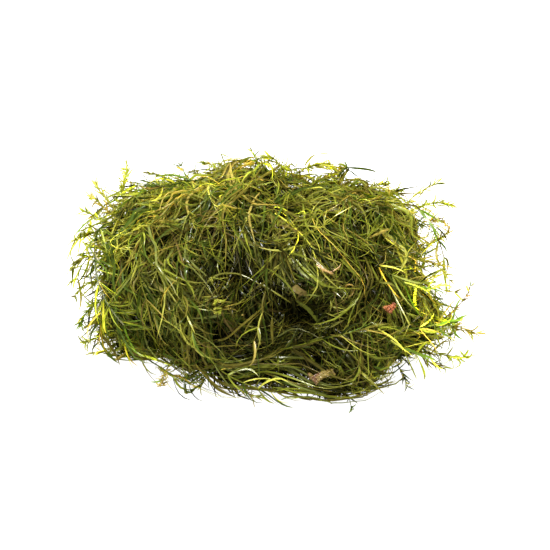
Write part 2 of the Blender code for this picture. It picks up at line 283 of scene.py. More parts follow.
def relief(points):
    outward = points - heap["middle"]
    return waving(outward, lumps) - spotted(unitOf(outward), hollows + insets)


def raised(points, floorGap):  # strands moved out and in with the relief
    points = points + unitOf(points - heap["middle"]) * relief(points)[..., None]
    points[..., 2] = np.maximum(points[..., 2], floorGap)
    return points


gapFade = {"start": 1.4, "height": 0.005, "least": 0.25}  # how a gap's painted shade fades over the surface
longLift = 1.08  # painted light: brightness of long strands, which show more of their lit side


def toned(light, units, spots, felt=1):  # painted light and shade: the light times each spot's brightness
    for azimuth, elevation, width, brightness in spots:
        angle = angleBetween(units, towards(azimuth, elevation))
        light = light * (1 + (brightness - 1) * felt * np.exp(-((angle / width) ** 2)))
    return light


def paintedShading(points, spec):  # painted shade in the depth, painted light on what stands out, and the painted light and shade of the spots
    over, units = heightsOver(points)
    over = over + spotted(units, insets)
    light = np.clip(1 + (over - spec["lit"]) / spec["shadeDepth"], spec["darkest"], spec["brightest"])
    felt = np.clip(gapFade["start"] - over / gapFade["height"], gapFade["least"], 1)
    return toned(toned(light, units, paintedLightSpots), units, gaps, felt)


def paintedShadingAlong(points, spec):  # painted light and shade of strands, from their start, middle and end
    steps = len(points) - 1
    start, middle, end = (paintedShading(points[step], spec) for step in (steps // 6, steps // 2, steps * 5 // 6))
    return (start * middle**2 * end) ** 0.25 * longLift


# Camera, at the photo's angle

view = {
    "elevation": 26,  # degrees above the floor
    "distance": 0.90,
    "frameWidth": 0.275,  # what the picture spans at the heap
    "sensor": 36,
    "aim": np.array((0.0045, -0.0033, 0.0400)),
    "pixels": 550,
    "search": (0.75, 1.00, 0.0004),  # distances at which a pixel's line of sight is looked along
}


def viewAxes():
    e = math.radians(view["elevation"])
    back = np.array((0, -math.cos(e), math.sin(e)))
    return np.array((1, 0, 0)), np.array((0, math.sin(e), math.cos(e))), back


def addCamera():
    _, _, back = viewAxes()
    data = bpy.data.cameras.new("camera")
    data.sensor_width = view["sensor"]
    data.lens = view["sensor"] * view["distance"] / view["frameWidth"]
    camera = bpy.data.objects.new("camera", data)
    camera.location = view["aim"] + back * view["distance"]
    camera.rotation_euler = (math.radians(90 - view["elevation"]), 0, 0)
    bpy.context.scene.collection.objects.link(camera)
    bpy.context.scene.camera = camera


addCamera()
print("camera placed")

# How the strands run in front, from pixel to pixel of the picture


def atPixel(pixels, heights):  # the points seen there, at these heights over the tangle
    rightWay, upWay, back = viewAxes()
    scale = view["frameWidth"] / view["pixels"] / view["distance"]
    offset = (pixels - view["pixels"] / 2) * scale
    ray = unitOf(rightWay * offset[:, :1] - upWay * offset[:, 1:] - back)
    reach = np.arange(*view["search"])
    points = view["aim"] + back * view["distance"] + ray[:, None] * reach[:, None]
    over, _ = heightsOver(points)
    over = over - relief(points)
    inside = over < heights[:, None]
    nearest = np.where(inside.any(axis=1), inside.argmax(axis=1), over.argmin(axis=1))
    return points[np.arange(len(pixels)), nearest]


combing = (
    ((255, 170), (215, 218)),
    ((235, 185), (200, 235)),
    ((176, 235), (182, 285)),
    ((186, 280), (195, 325)),
    ((195, 325), (212, 372)),
    ((205, 365), (235, 396)),
    ((176, 201), (140, 217)),
    ((181, 210), (150, 238)),
    ((100, 215), (92, 255)),
    ((92, 255), (88, 310)),
    ((135, 290), (150, 335)),
    ((140, 315), (170, 365)),
    ((165, 345), (208, 387)),
    ((120, 195), (112, 240)),
    ((150, 225), (160, 262)),
    ((145, 270), (158, 320)),
    ((208, 224), (262, 245)),
    ((262, 200), (262, 258)),
    ((235, 240), (228, 280)),
    ((250, 275), (285, 300)),
    ((272, 300), (212, 342)),
    ((215, 345), (255, 345)),
    ((225, 365), (300, 392)),
    ((130, 340), (160, 360)),
    ((270, 168), (335, 166)),
    ((275, 200), (350, 187)),
    ((345, 190), (372, 215)),
    ((385, 190), (425, 215)),
    ((305, 205), (330, 235)),
    ((318, 235), (362, 250)),
    ((300, 245), (295, 282)),
    ((333, 270), (338, 325)),
    ((290, 285), (325, 330)),
    ((357, 280), (350, 322)),
    ((368, 225), (366, 256)),
    ((382, 235), (426, 278)),
    ((405, 215), (435, 285)),
    ((380, 285), (365, 330)),
    ((395, 300), (400, 330)),
    ((330, 336), (402, 366)),
    ((357, 332), (398, 328)),
    ((372, 345), (414, 323)),
    ((350, 322), (358, 370)),
    ((360, 372), (386, 396)),
    ((260, 333), (318, 334)),
    ((265, 390), (345, 398)),
    ((345, 398), (395, 380)),
    ((430, 300), (448, 325)),
    ((276, 364), (315, 386)),
)
comb = {"width": 9, "weight": 1.8, "height": 0.004, "shares": (0.15, 0.5, 0.85)}


def combStrokes():  # direction from the heap's middle, and the way the strands run there
    heights = np.full(len(combing), comb["height"])
    ends = [atPixel(np.array(part, float), heights) for part in zip(*combing)]
    ways = unitOf(ends[1] - ends[0])
    units = [unitOf(ends[0] + (ends[1] - ends[0]) * share - heap["middle"]) for share in comb["shares"]]
    return np.concatenate(units), np.concatenate([ways] * len(units))


combUnits, combWays = combStrokes()


def combedWay(units, normals):  # finer than the solids' strandWay
    total = strandWay(units, normals)
    angle = np.degrees(np.arccos(np.clip(units @ combUnits.T, -1, 1)))
    weight = comb["weight"] * np.exp(-((angle / comb["width"]) ** 2))
    return flattened(total + weight @ combWays, normals)


# Wet plant: one material, coloured by the tint of each leaf or stem, which carries its painted light and
# shade

palette = {
    "deep": (0.009, 0.014, 0.003),
    "green": (0.062, 0.092, 0.014),
    "fresh": (0.168, 0.186, 0.026),
    "lime": (0.262, 0.264, 0.060),
    "olive": (0.112, 0.098, 0.019),
    "brown": (0.105, 0.080, 0.028),
    "straw": (0.26, 0.22, 0.060),
    # a grey-green that stands in for the sheen on wet leaves: painted sheen
    "paintedSheen": (0.135, 0.150, 0.042),
}
paletteRows = np.array(list(palette.values()))

finish = {
    "specular": 0.30,
    "coat": 0.40,
    "coatRoughness": 0.20,
    "translucency": 0.42,
    "glow": (2.0, 1.86, 0.95, 1),
    "mottle": (420, 3),  # scale and detail of the noise
    "grain": (2600, 1),
    "mottled": (0.9, 0.55),  # brightness that the mottle adds, and the least
    "tipped": (5, 0.45),  # how late the tip's colour sets in, and its share
    "ribWidth": -4,  # how fast the rib's colour fades to its sides
    "ribbed": 0.25,  # share of the rib's colour
    "ribHeight": 0.6,
    "dull": (0.35, 0.13),  # roughness that the mottle adds, and the least
    "wetness": 4,  # dark leaves have less of the coat
    "bump": 0.25,
    "bumpDepth": 0.0002,
    "ribColour": (0.34, 0.36, 0.06, 1),
    "tipColour": (0.45, 0.38, 0.08, 1),
}


def mathNode(tree, operation, *values, clamp=False):
    node = tree.nodes.new("ShaderNodeMath")
    node.operation = operation
    node.use_clamp = clamp
    for socket, value in zip(node.inputs, values):
        if isinstance(value, bpy.types.NodeSocket):
            tree.links.new(value, socket)
        else:
            socket.default_value = value
    return node.outputs[0]


def mixColours(tree, factor, first, second, blend="MIX"):
    node = tree.nodes.new("ShaderNodeMix")
    node.data_type = "RGBA"
    node.blend_type = blend
    for name, value in (("Factor_Float", factor), ("A_Color", first), ("B_Color", second)):
        socket = next(s for s in node.inputs if s.identifier == name)
        if isinstance(value, bpy.types.NodeSocket):
            tree.links.new(value, socket)
        else:
            socket.default_value = value
    return next(s for s in node.outputs if s.identifier == "Result_Color")


def attributeSocket(tree, name, output):
    node = tree.nodes.new("ShaderNodeAttribute")
    node.attribute_name = name
    return node.outputs[output]


def noiseSocket(tree, coordinates, scale, detail):
    node = tree.nodes.new("ShaderNodeTexNoise")
    node.inputs["Scale"].default_value = scale
    node.inputs["Detail"].default_value = detail
    tree.links.new(coordinates, node.inputs["Vector"])
    return node.outputs["Fac"]


surfaceOutputs = {"Colour": "Color", "Roughness": "Float", "Height": "Float"}


def startGroup(name, inputs, outputs, spec):  # a group, its ends, and the sockets that its nodes start from
    group = bpy.data.node_groups.new(name, "ShaderNodeTree")
    for way, sockets in (("INPUT", inputs), ("OUTPUT", outputs)):
        for socket, kind in sockets.items():
            group.interface.new_socket(name=socket, in_out=way, socket_type=f"NodeSocket{kind}")
    inside = group.nodes.new("NodeGroupInput").outputs
    outside = group.nodes.new("NodeGroupOutput").inputs
    place = group.nodes.new("ShaderNodeTexCoord").outputs["Object"]
    mottle, grain = (noiseSocket(group, place, *spec[key]) for key in ("mottle", "grain"))
    along, across = (attributeSocket(group, key, "Fac") for key in ("along", "across"))
    return group, inside, outside, mottle, grain, along, across


def makePlantGroup():  # colour, roughness and relief of a wet leaf or stem
    group, inside, outside, mottle, grain, along, across = startGroup(
        "plantSurface", {"Tint": "Color"}, {**surfaceOutputs, "Coat": "Float"}, finish)
    shade = mathNode(group, "MULTIPLY_ADD", mottle, *finish["mottled"])
    shaded = mixColours(group, 1, inside["Tint"], shade, "MULTIPLY")
    late, share = finish["tipped"]
    tip = mathNode(group, "MULTIPLY", mathNode(group, "POWER", along, late), share)
    tipped = mixColours(group, tip, shaded, finish["tipColour"])
    fromRib = mathNode(group, "ABSOLUTE", across)
    rib = mathNode(group, "MULTIPLY_ADD", fromRib, finish["ribWidth"], 1, clamp=True)
    ribShare = mathNode(group, "MULTIPLY", rib, finish["ribbed"])
    ribbed = mixColours(group, ribShare, tipped, finish["ribColour"])
    group.links.new(ribbed, outside["Colour"])
    group.links.new(mathNode(group, "MULTIPLY_ADD", mottle, *finish["dull"]), outside["Roughness"])
    group.links.new(mathNode(group, "MULTIPLY_ADD", rib, finish["ribHeight"], grain), outside["Height"])
    channels = group.nodes.new("ShaderNodeSeparateColor")
    group.links.new(inside["Tint"], channels.inputs["Color"])
    green = mathNode(group, "SQRT", channels.outputs["Green"])
    wet = mathNode(group, "MULTIPLY", green, finish["wetness"], clamp=True)
    group.links.new(mathNode(group, "MULTIPLY", wet, finish["coat"]), outside["Coat"])
    return group


def makeWetMaterial(name, group, bumpStrength):  # its look from a group
    material = bpy.data.materials.new(name)
    material.use_nodes = True
    tree = material.node_tree
    shader = tree.nodes["Principled BSDF"]
    surface = tree.nodes.new("ShaderNodeGroup")
    surface.node_tree = group
    bump = tree.nodes.new("ShaderNodeBump")
    bump.inputs["Strength"].default_value = bumpStrength
    bump.inputs["Distance"].default_value = finish["bumpDepth"]
    tree.links.new(surface.outputs["Colour"], shader.inputs["Base Color"])
    tree.links.new(surface.outputs["Roughness"], shader.inputs["Roughness"])
    tree.links.new(surface.outputs["Height"], bump.inputs["Height"])
    tree.links.new(bump.outputs["Normal"], shader.inputs["Normal"])
    shader.inputs["Specular IOR Level"].default_value = finish["specular"]
    shader.inputs["Coat Roughness"].default_value = finish["coatRoughness"]
    return material, shader, surface


def makePlantMaterial():
    material, shader, surface = makeWetMaterial("wetPlant", makePlantGroup(), finish["bump"])
    tree = material.node_tree
    tree.links.new(attributeSocket(tree, "tint", "Color"), surface.inputs["Tint"])
    tree.links.new(surface.outputs["Coat"], shader.inputs["Coat Weight"])
    glow = tree.nodes.new("ShaderNodeBsdfTranslucent")
    bright = mixColours(tree, 1, surface.outputs["Colour"], finish["glow"], "MULTIPLY")
    tree.links.new(bright, glow.inputs["Color"])
    mix = tree.nodes.new("ShaderNodeMixShader")
    mix.inputs["Fac"].default_value = finish["translucency"]
    tree.links.new(shader.outputs["BSDF"], mix.inputs[1])
    tree.links.new(glow.outputs["BSDF"], mix.inputs[2])
    tree.links.new(mix.outputs["Shader"], tree.nodes["Material Output"].inputs["Surface"])
    return material


plantMaterial = makePlantMaterial()
print("materials made")

# Blades and stems: one small closed form each, drawn out along many curves


def makeForm(sides, rings):  # a pointed tube
    bm = bmesh.new()
    bmesh.ops.create_circle(bm, cap_ends=True, segments=sides, radius=1)
    cap = bm.faces[:][0]
    for ring in range(1, rings):
        cap = bmesh.ops.extrude_discrete_faces(bm, faces=[cap])["faces"][0]
        for vert in cap.verts:
            vert.co.z = ring
    tip = bmesh.ops.poke(bm, faces=[cap])["verts"][0]
    tip.co.z = rings
    bmesh.ops.contextual_create(bm, geom=[edge for edge in bm.edges if edge.is_boundary])
    bmesh.ops.recalc_face_normals(bm, faces=bm.faces[:])
    bm.verts.index_update()
    co = np.array([vert.co[:] for vert in bm.verts])
    form = {
        "ring": np.round(co[:, 2]).astype(int),
        "angle": np.arctan2(co[:, 1], co[:, 0]),
        "reach": np.minimum(np.hypot(co[:, 0], co[:, 1]), 1),
        "faces": [[vert.index for vert in face.verts] for face in bm.faces],
        "rings": rings,
    }
    bm.free()
    return form


def sweep(form, points, ups, widths, depths, folds):  # points and ups: (rings + 1, count, 3)
    ahead = unitOf(np.gradient(points, axis=0))
    side = unitOf(np.cross(ahead, ups))
    up = np.cross(side, ahead)
    ring, angle, reach = form["ring"], form["angle"], form["reach"]
    sideways = (np.cos(angle) * reach)[:, None] * widths[ring]
    upward = (np.sin(angle) * reach)[:, None] * depths[ring] + np.abs(sideways) * folds
    verts = points[ring] + side[ring] * sideways[..., None] + up[ring] * upward[..., None]
    return np.moveaxis(verts, 0, 1)  # (count, verts of the form, 3)


def addObject(name, data):
    made = bpy.data.objects.new(name, data)
    bpy.context.scene.collection.objects.link(made)
    return made


atlas = {"columns": 192, "rows": 32, "margin": 0.18}  # strips of the OFBake UV map, one for each strand
sharpAngle = math.radians(50)  # of edges that stay sharp


def joinPieces(name, parts, material=plantMaterial):  # parts: (form, verts, tints)
    coords, corners, starts, tints, along, across, strips = [], [], [], [], [], [], []
    vertBase, loopBase, strip = 0, 0, 0
    for form, verts, tint in parts:
        count, size = verts.shape[:2]
        flat = np.array([index for face in form["faces"] for index in face])
        lengths = np.array([len(face) for face in form["faces"]])
        first = np.concatenate(((0,), np.cumsum(lengths)[:-1]))
        coords.append(verts.reshape(-1, 3))
        corners.append((vertBase + np.arange(count)[:, None] * size + flat).ravel())
        starts.append((loopBase + np.arange(count)[:, None] * len(flat) + first).ravel())
        tints.append(np.repeat(tint, size, axis=0))
        along.append(np.tile(form["ring"] / form["rings"], count))
        across.append(np.tile(np.cos(form["angle"]) * form["reach"], count))
        strips.append(np.repeat(strip + np.arange(count), size))
        vertBase += count * size
        loopBase += count * len(flat)
        strip += count
    coords, corners, tints = np.concatenate(coords), np.concatenate(corners), np.concatenate(tints)
    along, across, strips = np.concatenate(along), np.concatenate(across), np.concatenate(strips)
    starts = np.concatenate(starts)
    mesh = bpy.data.meshes.new(name)
    mesh.vertices.add(vertBase)
    mesh.vertices.foreach_set("co", coords.astype(np.float32).ravel())
    mesh.loops.add(loopBase)
    mesh.loops.foreach_set("vertex_index", corners.astype(np.int32))
    mesh.polygons.add(len(starts))
    mesh.polygons.foreach_set("loop_start", starts.astype(np.int32))
    colours = mesh.attributes.new("tint", "FLOAT_COLOR", "POINT")
    opaque = np.column_stack((tints, np.ones(vertBase)))
    colours.data.foreach_set("color", opaque.astype(np.float32).ravel())
    for key, values in (("along", along), ("across", across)):
        mesh.attributes.new(key, "FLOAT", "POINT").data.foreach_set("value", values.astype(np.float32))
    inset, room = atlas["margin"], 1 - 2 * atlas["margin"]
    u = (strips % atlas["columns"] + inset + room * (0.5 + 0.5 * across)) / atlas["columns"]
    v = (strips // atlas["columns"] + inset / 4 + (1 - inset / 2) * along) / atlas["rows"]
    places = np.column_stack((u, v))[corners]
    mesh.uv_layers.new(name="OFBake").data.foreach_set("uv", places.astype(np.float32).ravel())
    mesh.update(calc_edges=True)
    mesh.validate()
    mesh.shade_smooth()
    mesh.set_sharp_from_angle(angle=sharpAngle)
    mesh.materials.append(material)
    piece = addObject(name, mesh)
    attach(piece, "root")
    mesh.calc_loop_triangles()
    fits = strip <= atlas["columns"] * atlas["rows"]
    print(name, len(mesh.loop_triangles), "triangles,", strip, "strands that fit the strips:", fits)
    return piece


forms = {
    "broad": makeForm(4, 6),
    "fine": makeForm(3, 5),
    "inner": makeForm(3, 4),
    "stem": makeForm(3, 12),
    "straw": makeForm(3, 14),
}

leafShape = {
    "shares": (0, 0.13, 0.30, 0.50, 0.72, 0.89, 1),  # along the leaf
    "widths": (0.45, 0.92, 1.0, 0.90, 0.62, 0.30, 0),
    "thickness": 0.00016,
    "fineDepth": 0.45,  # of fine leaves, as a share of their width
    "openingPower": 1.6,  # the higher, the fewer leaves stand far out
    "held": 0.75,  # share of its height over the limit that a leaf is bent back by
    "underPull": 1.8,  # how fast the limit falls under the heap's middle
    "underMost": 0.65,  # and the most by which it falls
}


def drawRange(draw, limits, count):
    return draw.uniform(limits[0], limits[1], count)


def drawKinds(draw, shares, count):  # shares: one for each colour of the palette
    return draw.choice(len(paletteRows), count, p=np.array(shares) / sum(shares))


def leafSteps(form):  # where its rings lie along the leaf
    knots = leafShape["shares"]
    return np.interp(np.linspace(0, 1, form["rings"] + 1), np.linspace(0, 1, len(knots)), knots)


def growLeaves(draw, form, roots, aheads, ups, spec):  # leaf curves from their roots
    count = len(roots)
    around = drawRange(draw, spec["around"], count)
    narrow, wide = spec["opening"]
    opening = narrow + (wide - narrow) * draw.uniform(0, 1, count) ** leafShape["openingPower"]
    length = drawRange(draw, spec["leafLength"], count)
    sideBend = draw.normal(0, spec["sideBend"], count)
    low, high = spec["reach"]
    limit = low + (high - low) * draw.uniform(0, 1, count) ** spec["reachPower"]
    outward = turned(ups, aheads, around)
    way = aheads * np.cos(np.radians(opening))[:, None] + outward * np.sin(np.radians(opening))[:, None]
    across = unitOf(np.cross(way, ups) + 1e-9)
    shares = leafSteps(form)
    points, frames = [roots], [ups]
    for step in np.diff(shares):
        way = unitOf(way + across * (np.radians(sideBend) * step)[:, None])
        point = points[-1] + way * (length * step)[:, None]
        height, units = heightsOver(point)
        height = height - relief(point)
        top = limit * (1 - spec["topSettling"] * np.maximum(units[:, 2], 0))
        top = top * (1 + spec["sideReach"] * units[:, 0] ** 4)
        under = -leafShape["underPull"] * units[:, 2] * (1 - units[:, 0] ** 4)
        top = top * (1 - np.clip(under, 0, leafShape["underMost"]))
        point = point - units * (np.maximum(height - top, 0) * leafShape["held"])[:, None]
        point[:, 2] = np.maximum(point[:, 2], spec["floorGap"])
        way = unitOf(point - points[-1])
        points.append(point)
        frames.append(units)
    points = np.array(points)
    tangents = unitOf(np.gradient(points, axis=0))
    twist = np.linspace(0, 1, len(points))[:, None] * draw.normal(0, spec["twist"], count)
    roll = draw.normal(0, spec["roll"], count) + twist
    frames = turned(flattened(np.array(frames), tangents), tangents, roll)
    profile = np.interp(shares, leafShape["shares"], leafShape["widths"])[:, None]
    low, high = spec["halfWidth"]
    widths = profile * low * (high / low) ** draw.uniform(0, 1, count)
    folds = drawRange(draw, spec["fold"], count)
    depths = np.full_like(widths, leafShape["thickness"] / 2)
    if form is not forms["broad"]:
        depths = np.maximum(depths, widths * leafShape["fineDepth"])
        folds = folds * 0
    return sweep(form, points, frames, widths, depths, folds)


def placeAlong(points, normals, shares):  # points (steps, count, 3), one share for each strand
    place = shares * (len(points) - 1)
    index = np.minimum(place.astype(int), len(points) - 2)
    each = np.arange(points.shape[1])
    part = (place - index)[:, None]
    first, last = points[index, each], points[index + 1, each]
    ahead = unitOf(last - first)
    normal = normals[index, each] * (1 - part) + normals[index + 1, each] * part
    return first + (last - first) * part, ahead, flattened(normal, ahead)


clumps = {"seed": 11, "waves": 7, "lengths": (0.013, 0.026), "phase": 6}  # most radians a wave starts at


def clumping(points):  # from 0 in the gaps to 1 in the bundles
    draw = np.random.default_rng(clumps["seed"])
    total = np.zeros(len(points))
    for _ in range(clumps["waves"]):
        way = unitOf(draw.normal(0, 1, 3))
        turns = points @ way * 2 * math.pi / draw.uniform(*clumps["lengths"])
        total += np.sin(turns + draw.uniform(0, clumps["phase"]))
    return 0.5 + total / clumps["waves"]


fieldBase = {  # what the layers share where they don't say otherwise
    "endward": 0,  # degrees by which starts are drawn to the heap's ends
    "heightPower": 1.0,
    "tipRise": (-0.003, 0.003),
    "sideRise": 0.0,  # how far strands stand away at the heap's ends
    "wave": 0.0025,
    "bend": 60,
    "elevations": (-28, 88),
    "whorls": 8,
    "leaves": 3,
    "around": (-180, 180),
    "sideBend": 30,
    "roll": 60,
    "twist": 40,
    "fold": (0.1, 0.55),
    "sideReach": 0.0,
    "reachPower": 2,
    "gapShare": 0.0,
    "form": "inner",
    # lit, shadeDepth, darkest and brightest set the painted shade deep in the tangle and the painted light on
    # what stands out
    "lit": 0.0015,
    "pieces": 1,
}

fieldLayers = {  # metres, degrees, and shares of each colour of the palette
    "outer": {
        "sprigs": 370,
        "seed": 5,
        "height": (0.0035, -0.0085),
        "heightPower": 1.3,
        "tipRise": (-0.002, 0.007),
        "sideRise": 0.016,
        "wave": 0.0016,
        "length": (0.045, 0.100),
        "turn": 10,
        "bend": 24,
        "elevations": (-24, 88),
        "around": (-120, 120),
        "opening": (2, 32),
        "leafLength": (0.014, 0.032),
        "roll": 40,
        "twist": 50,
        "halfWidth": (0.00038, 0.00092),
        "reach": (0.0015, 0.0155),
        "sideReach": 1.4,
        "reachPower": 2.2,
        "topSettling": 0.40,
        "floorGap": 0.0008,
        "gapShare": 0.8,
        "form": "fine",
        "kinds": (0.10, 0.26, 0.25, 0.10, 0.18, 0.05, 0.05, 0.12),
        "brightness": 0.50,
        "lit": 0.0022,
        "shadeDepth": 0.0058,
        "darkest": 0.025,
        "brightest": 1.65,
        "stem": (0.00026, 0.00046),
        "pieces": 3,
    },
    "broad": {
        "sprigs": 110,
        "seed": 15,
        "height": (0.0035, -0.0060),
        "tipRise": (-0.002, 0.005),
        "sideRise": 0.010,
        "wave": 0.0014,
        "length": (0.045, 0.090),
        "turn": 12,
        "bend": 26,
        "elevations": (-24, 85),
        "whorls": 7,
        "around": (-120, 120),
        "opening": (5, 40),
        "leafLength": (0.017, 0.030),
        "roll": 36,
        "halfWidth": (0.00060, 0.00100),
        "fold": (0.1, 0.6),
        "reach": (0.0030, 0.0110),
        "sideReach": 1.1,
        "reachPower": 3,
        "topSettling": 0.45,
        "floorGap": 0.0012,
        "gapShare": 0.5,
        "form": "broad",
        "kinds": (0.24, 0.34, 0.18, 0.02, 0.18, 0.02, 0.02, 0.16),
        "brightness": 0.35,
        "shadeDepth": 0.0080,
        "darkest": 0.08,
        "brightest": 1.4,
        "stem": (0.00040, 0.00062),
    },
    "tuft": {
        "sprigs": 240,
        "endward": 19,
        "seed": 25,
        "height": (0.0040, -0.0030),
        "tipRise": (0.003, 0.013),
        "sideRise": 0.012,
        "wave": 0.0010,
        "length": (0.018, 0.045),
        "turn": 50,
        "elevations": (-8, 78),
        "opening": (14, 62),
        "leafLength": (0.004, 0.012),
        "sideBend": 40,
        "roll": 50,
        "twist": 50,
        "halfWidth": (0.00020, 0.00046),
        "reach": (0.0080, 0.0200),
        "sideReach": 0.8,
        "reachPower": 1,
        "topSettling": 0.35,
        "floorGap": 0.0008,
        "form": "fine",
        "kinds": (0.02, 0.16, 0.38, 0.26, 0.10, 0.02, 0.06, 0.05),
        "brightness": 0.35,
        "shadeDepth": 0.0120,
        "darkest": 0.20,
        "brightest": 1.6,
        "stem": (0.00020, 0.00034),
    },
    "inner": {
        "sprigs": 204,
        "seed": 6,
        "height": (-0.005, -0.018),
        "length": (0.045, 0.090),
        "turn": 50,
        "opening": (8, 60),
        "leafLength": (0.015, 0.028),
        "sideBend": 40,
        "halfWidth": (0.00045, 0.0010),
        "reach": (-0.0010, 0.0020),
        "topSettling": 0.3,
        "floorGap": 0.0010,
        "gapShare": 0.2,
        "kinds": (0.40, 0.24, 0.06, 0.01, 0.22, 0.07, 0.00, 0.05),
        "brightness": 0.3,
        "shadeDepth": 0.0070,
        "darkest": 0.020,
        "brightest": 0.8,
        "stem": (0.00040, 0.00060),
    },
    "deep": {
        "sprigs": 115,
        "seed": 7,
        "height": (-0.018, -0.036),
        "length": (0.050, 0.090),
        "turn": 80,
        "opening": (10, 70),
        "leafLength": (0.018, 0.032),
        "halfWidth": (0.0011, 0.0018),
        "reach": (-0.016, -0.012),
        "topSettling": 0.0,
        "floorGap": 0.0014,
        "kinds": (0.80, 0.10, 0.00, 0.00, 0.08, 0.02, 0.00, 0.00),
        "brightness": 0.2,
        "shadeDepth": 0.0110,
        "darkest": 0.020,
        "brightest": 0.6,
        "stem": (0.00050, 0.00070),
    },
}

sowing = {
    "golden": 137.508,  # golden angle in degrees, from each strand's start to the next
    "scatter": (4, 2),  # degrees of azimuth and of elevation
    "wavesAlong": (4, 9),  # radians along a stem
    "rise": (-4, 14),  # degrees by which a strand stops higher than the lowest elevation
    "firstWhorl": 0.6,
    "whorlScatter": 0.25,
    "whorlPower": 1.25,
    "ownLight": 0.6,  # power of the stem's brightness in its leaves
    "strange": 0.35,  # share of leaves with another colour than their stem's
    "highest": 1.5,  # brightness of a leaf
    "sparse": 0.38,  # clumping under which leaves may be left out
    "stemTip": 0.35,  # width as a share of the root's
}


def growField(name):
    spec = {**fieldBase, **fieldLayers[name]}
    draw = np.random.default_rng(spec["seed"])
    count = spec["sprigs"]
    form, stemForm = forms[spec["form"]], forms["stem"]
    low, high = (math.sin(math.radians(limit)) for limit in spec["elevations"])
    order = np.arange(count)
    elevation = np.degrees(np.arcsin(low + (high - low) * (order + 0.5) / count))
    azimuth = order * sowing["golden"] + draw.normal(0, sowing["scatter"][0], count)
    azimuth = azimuth - spec["endward"] * np.sin(np.radians(2 * azimuth))
    start = towards(azimuth, elevation + draw.normal(0, sowing["scatter"][1], count))
    steps = stemForm["rings"]
    shares = np.linspace(0, 1, steps + 1)[:, None]
    top, bottom = spec["height"]
    height = top + (bottom - top) * draw.uniform(0, 1, count) ** spec["heightPower"]
    height = height + shares**2 * drawRange(draw, spec["tipRise"], count)
    height = height + shares**2 * start[:, 0] ** 4 * draw.uniform(0, spec["sideRise"], count)
    phase = draw.uniform(0, 2 * math.pi, count)
    height = height + spec["wave"] * np.sin(shares * drawRange(draw, sowing["wavesAlong"], count) + phase)
    length = drawRange(draw, spec["length"], count)[:, None]
    turn = waving(surfaceAt(start), swirl) + draw.normal(0, spec["turn"], count)
    bend = draw.normal(0, spec["bend"], count)
    rise = drawRange(draw, sowing["rise"], count)
    lowest = spec["floorGap"]
    points, normals = layStrand(start, length, turn, bend, height[..., None], lowest, combedWay, rise)
    points = raised(points, lowest)
    light = draw.lognormal(0, spec["brightness"], count)
    kinds = drawKinds(draw, spec["kinds"], count)
    # stem tints carry painted shade deep in the tangle and painted light on what stands out
    stemTints = paletteRows[kinds] * (light * paintedShading(points[steps // 2], spec))[:, None]
    roots, aheads, ups, tints, owners = [], [], [], [], []
    first, scatter = sowing["firstWhorl"], sowing["whorlScatter"]
    for whorl in range(spec["whorls"]):
        place = (whorl + first + draw.uniform(-scatter, scatter, count)) / (spec["whorls"] + first)
        place = 1 - (1 - place) ** sowing["whorlPower"]
        root, ahead, up = placeAlong(points, normals, np.clip(place, 0, 1))
        # leaf tints carry the painted light and shade at their roots
        lit = light ** sowing["ownLight"] * paintedShading(root, spec)
        for _ in range(spec["leaves"]):
            strange = draw.uniform(0, 1, count) < sowing["strange"]
            leafKinds = np.where(strange, drawKinds(draw, spec["kinds"], count), kinds)
            roots.append(root)
            aheads.append(ahead)
            ups.append(up)
            own = np.minimum(lit * draw.lognormal(0, spec["brightness"], count), sowing["highest"])
            tints.append(paletteRows[leafKinds] * own[:, None])
            owners.append(order)
    grown = [np.concatenate(part) for part in (roots, aheads, ups, tints, owners)]
    sparse = clumping(grown[0]) < sowing["sparse"]
    kept = draw.uniform(0, 1, len(sparse)) > spec["gapShare"] * sparse
    roots, aheads, ups, tints, owners = (part[kept] for part in grown)
    leaves = growLeaves(draw, form, roots, aheads, ups, spec)
    stemWidth = np.linspace(1, sowing["stemTip"], steps + 1)[:, None] * drawRange(draw, spec["stem"], count)
    stems = sweep(stemForm, points, normals, stemWidth, stemWidth, np.zeros(count))
    sector = (np.degrees(np.arctan2(start[:, 1], start[:, 0])) + 360) % 360 * spec["pieces"] // 360
    for piece in range(spec["pieces"]):
        mine, own = sector == piece, sector[owners] == piece
        parts = [(form, leaves[own], tints[own]), (stemForm, stems[mine], stemTints[mine])]
        made = joinPieces(f"{name}_tangle_{piece + 1}", parts)
        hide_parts("tangled_clump")


for name in fieldLayers:
    growField(name)

# Bare stems and hair-thin roots that wander over the tangle

strawBase = {
    "lowest": -28,  # elevation of the lowest starts
    "wave": 0.0018,
    "wavesAlong": (4, 10),  # radians along a stem
    "phase": 6,
    "floorGap": 0.0006,
    "taper": ((0, 0.8, 1), (1, 0.8, 0.5)),
    "brightness": 0.35,
    "lit": 0.0015,
    "shadeDepth": 0.0100,
    "brightest": 1.4,
}

straws = {
    "stems": {
        "seed": 31,
        "count": 420,
        "length": (0.030, 0.100),
        "halfWidth": (0.00024, 0.00044),
        "height": (-0.004, 0.0055),
        "tipRise": (-0.003, 0.006),
        "turn": 22,
        "bend": 60,
        "kinds": (0.04, 0.14, 0.24, 0.20, 0.14, 0.12, 0.12, 0.08),
        "darkest": 0.12,
    },
    "hairs": {
        "seed": 32,
        "count": 460,
        "length": (0.020, 0.070),
        "halfWidth": (0.00010, 0.00020),
        "height": (-0.003, 0.0065),
        "tipRise": (-0.002, 0.010),
        "turn": 40,
        "bend": 90,
        "kinds": (0.02, 0.10, 0.22, 0.26, 0.10, 0.10, 0.20, 0.08),
        "darkest": 0.15,
    },
}


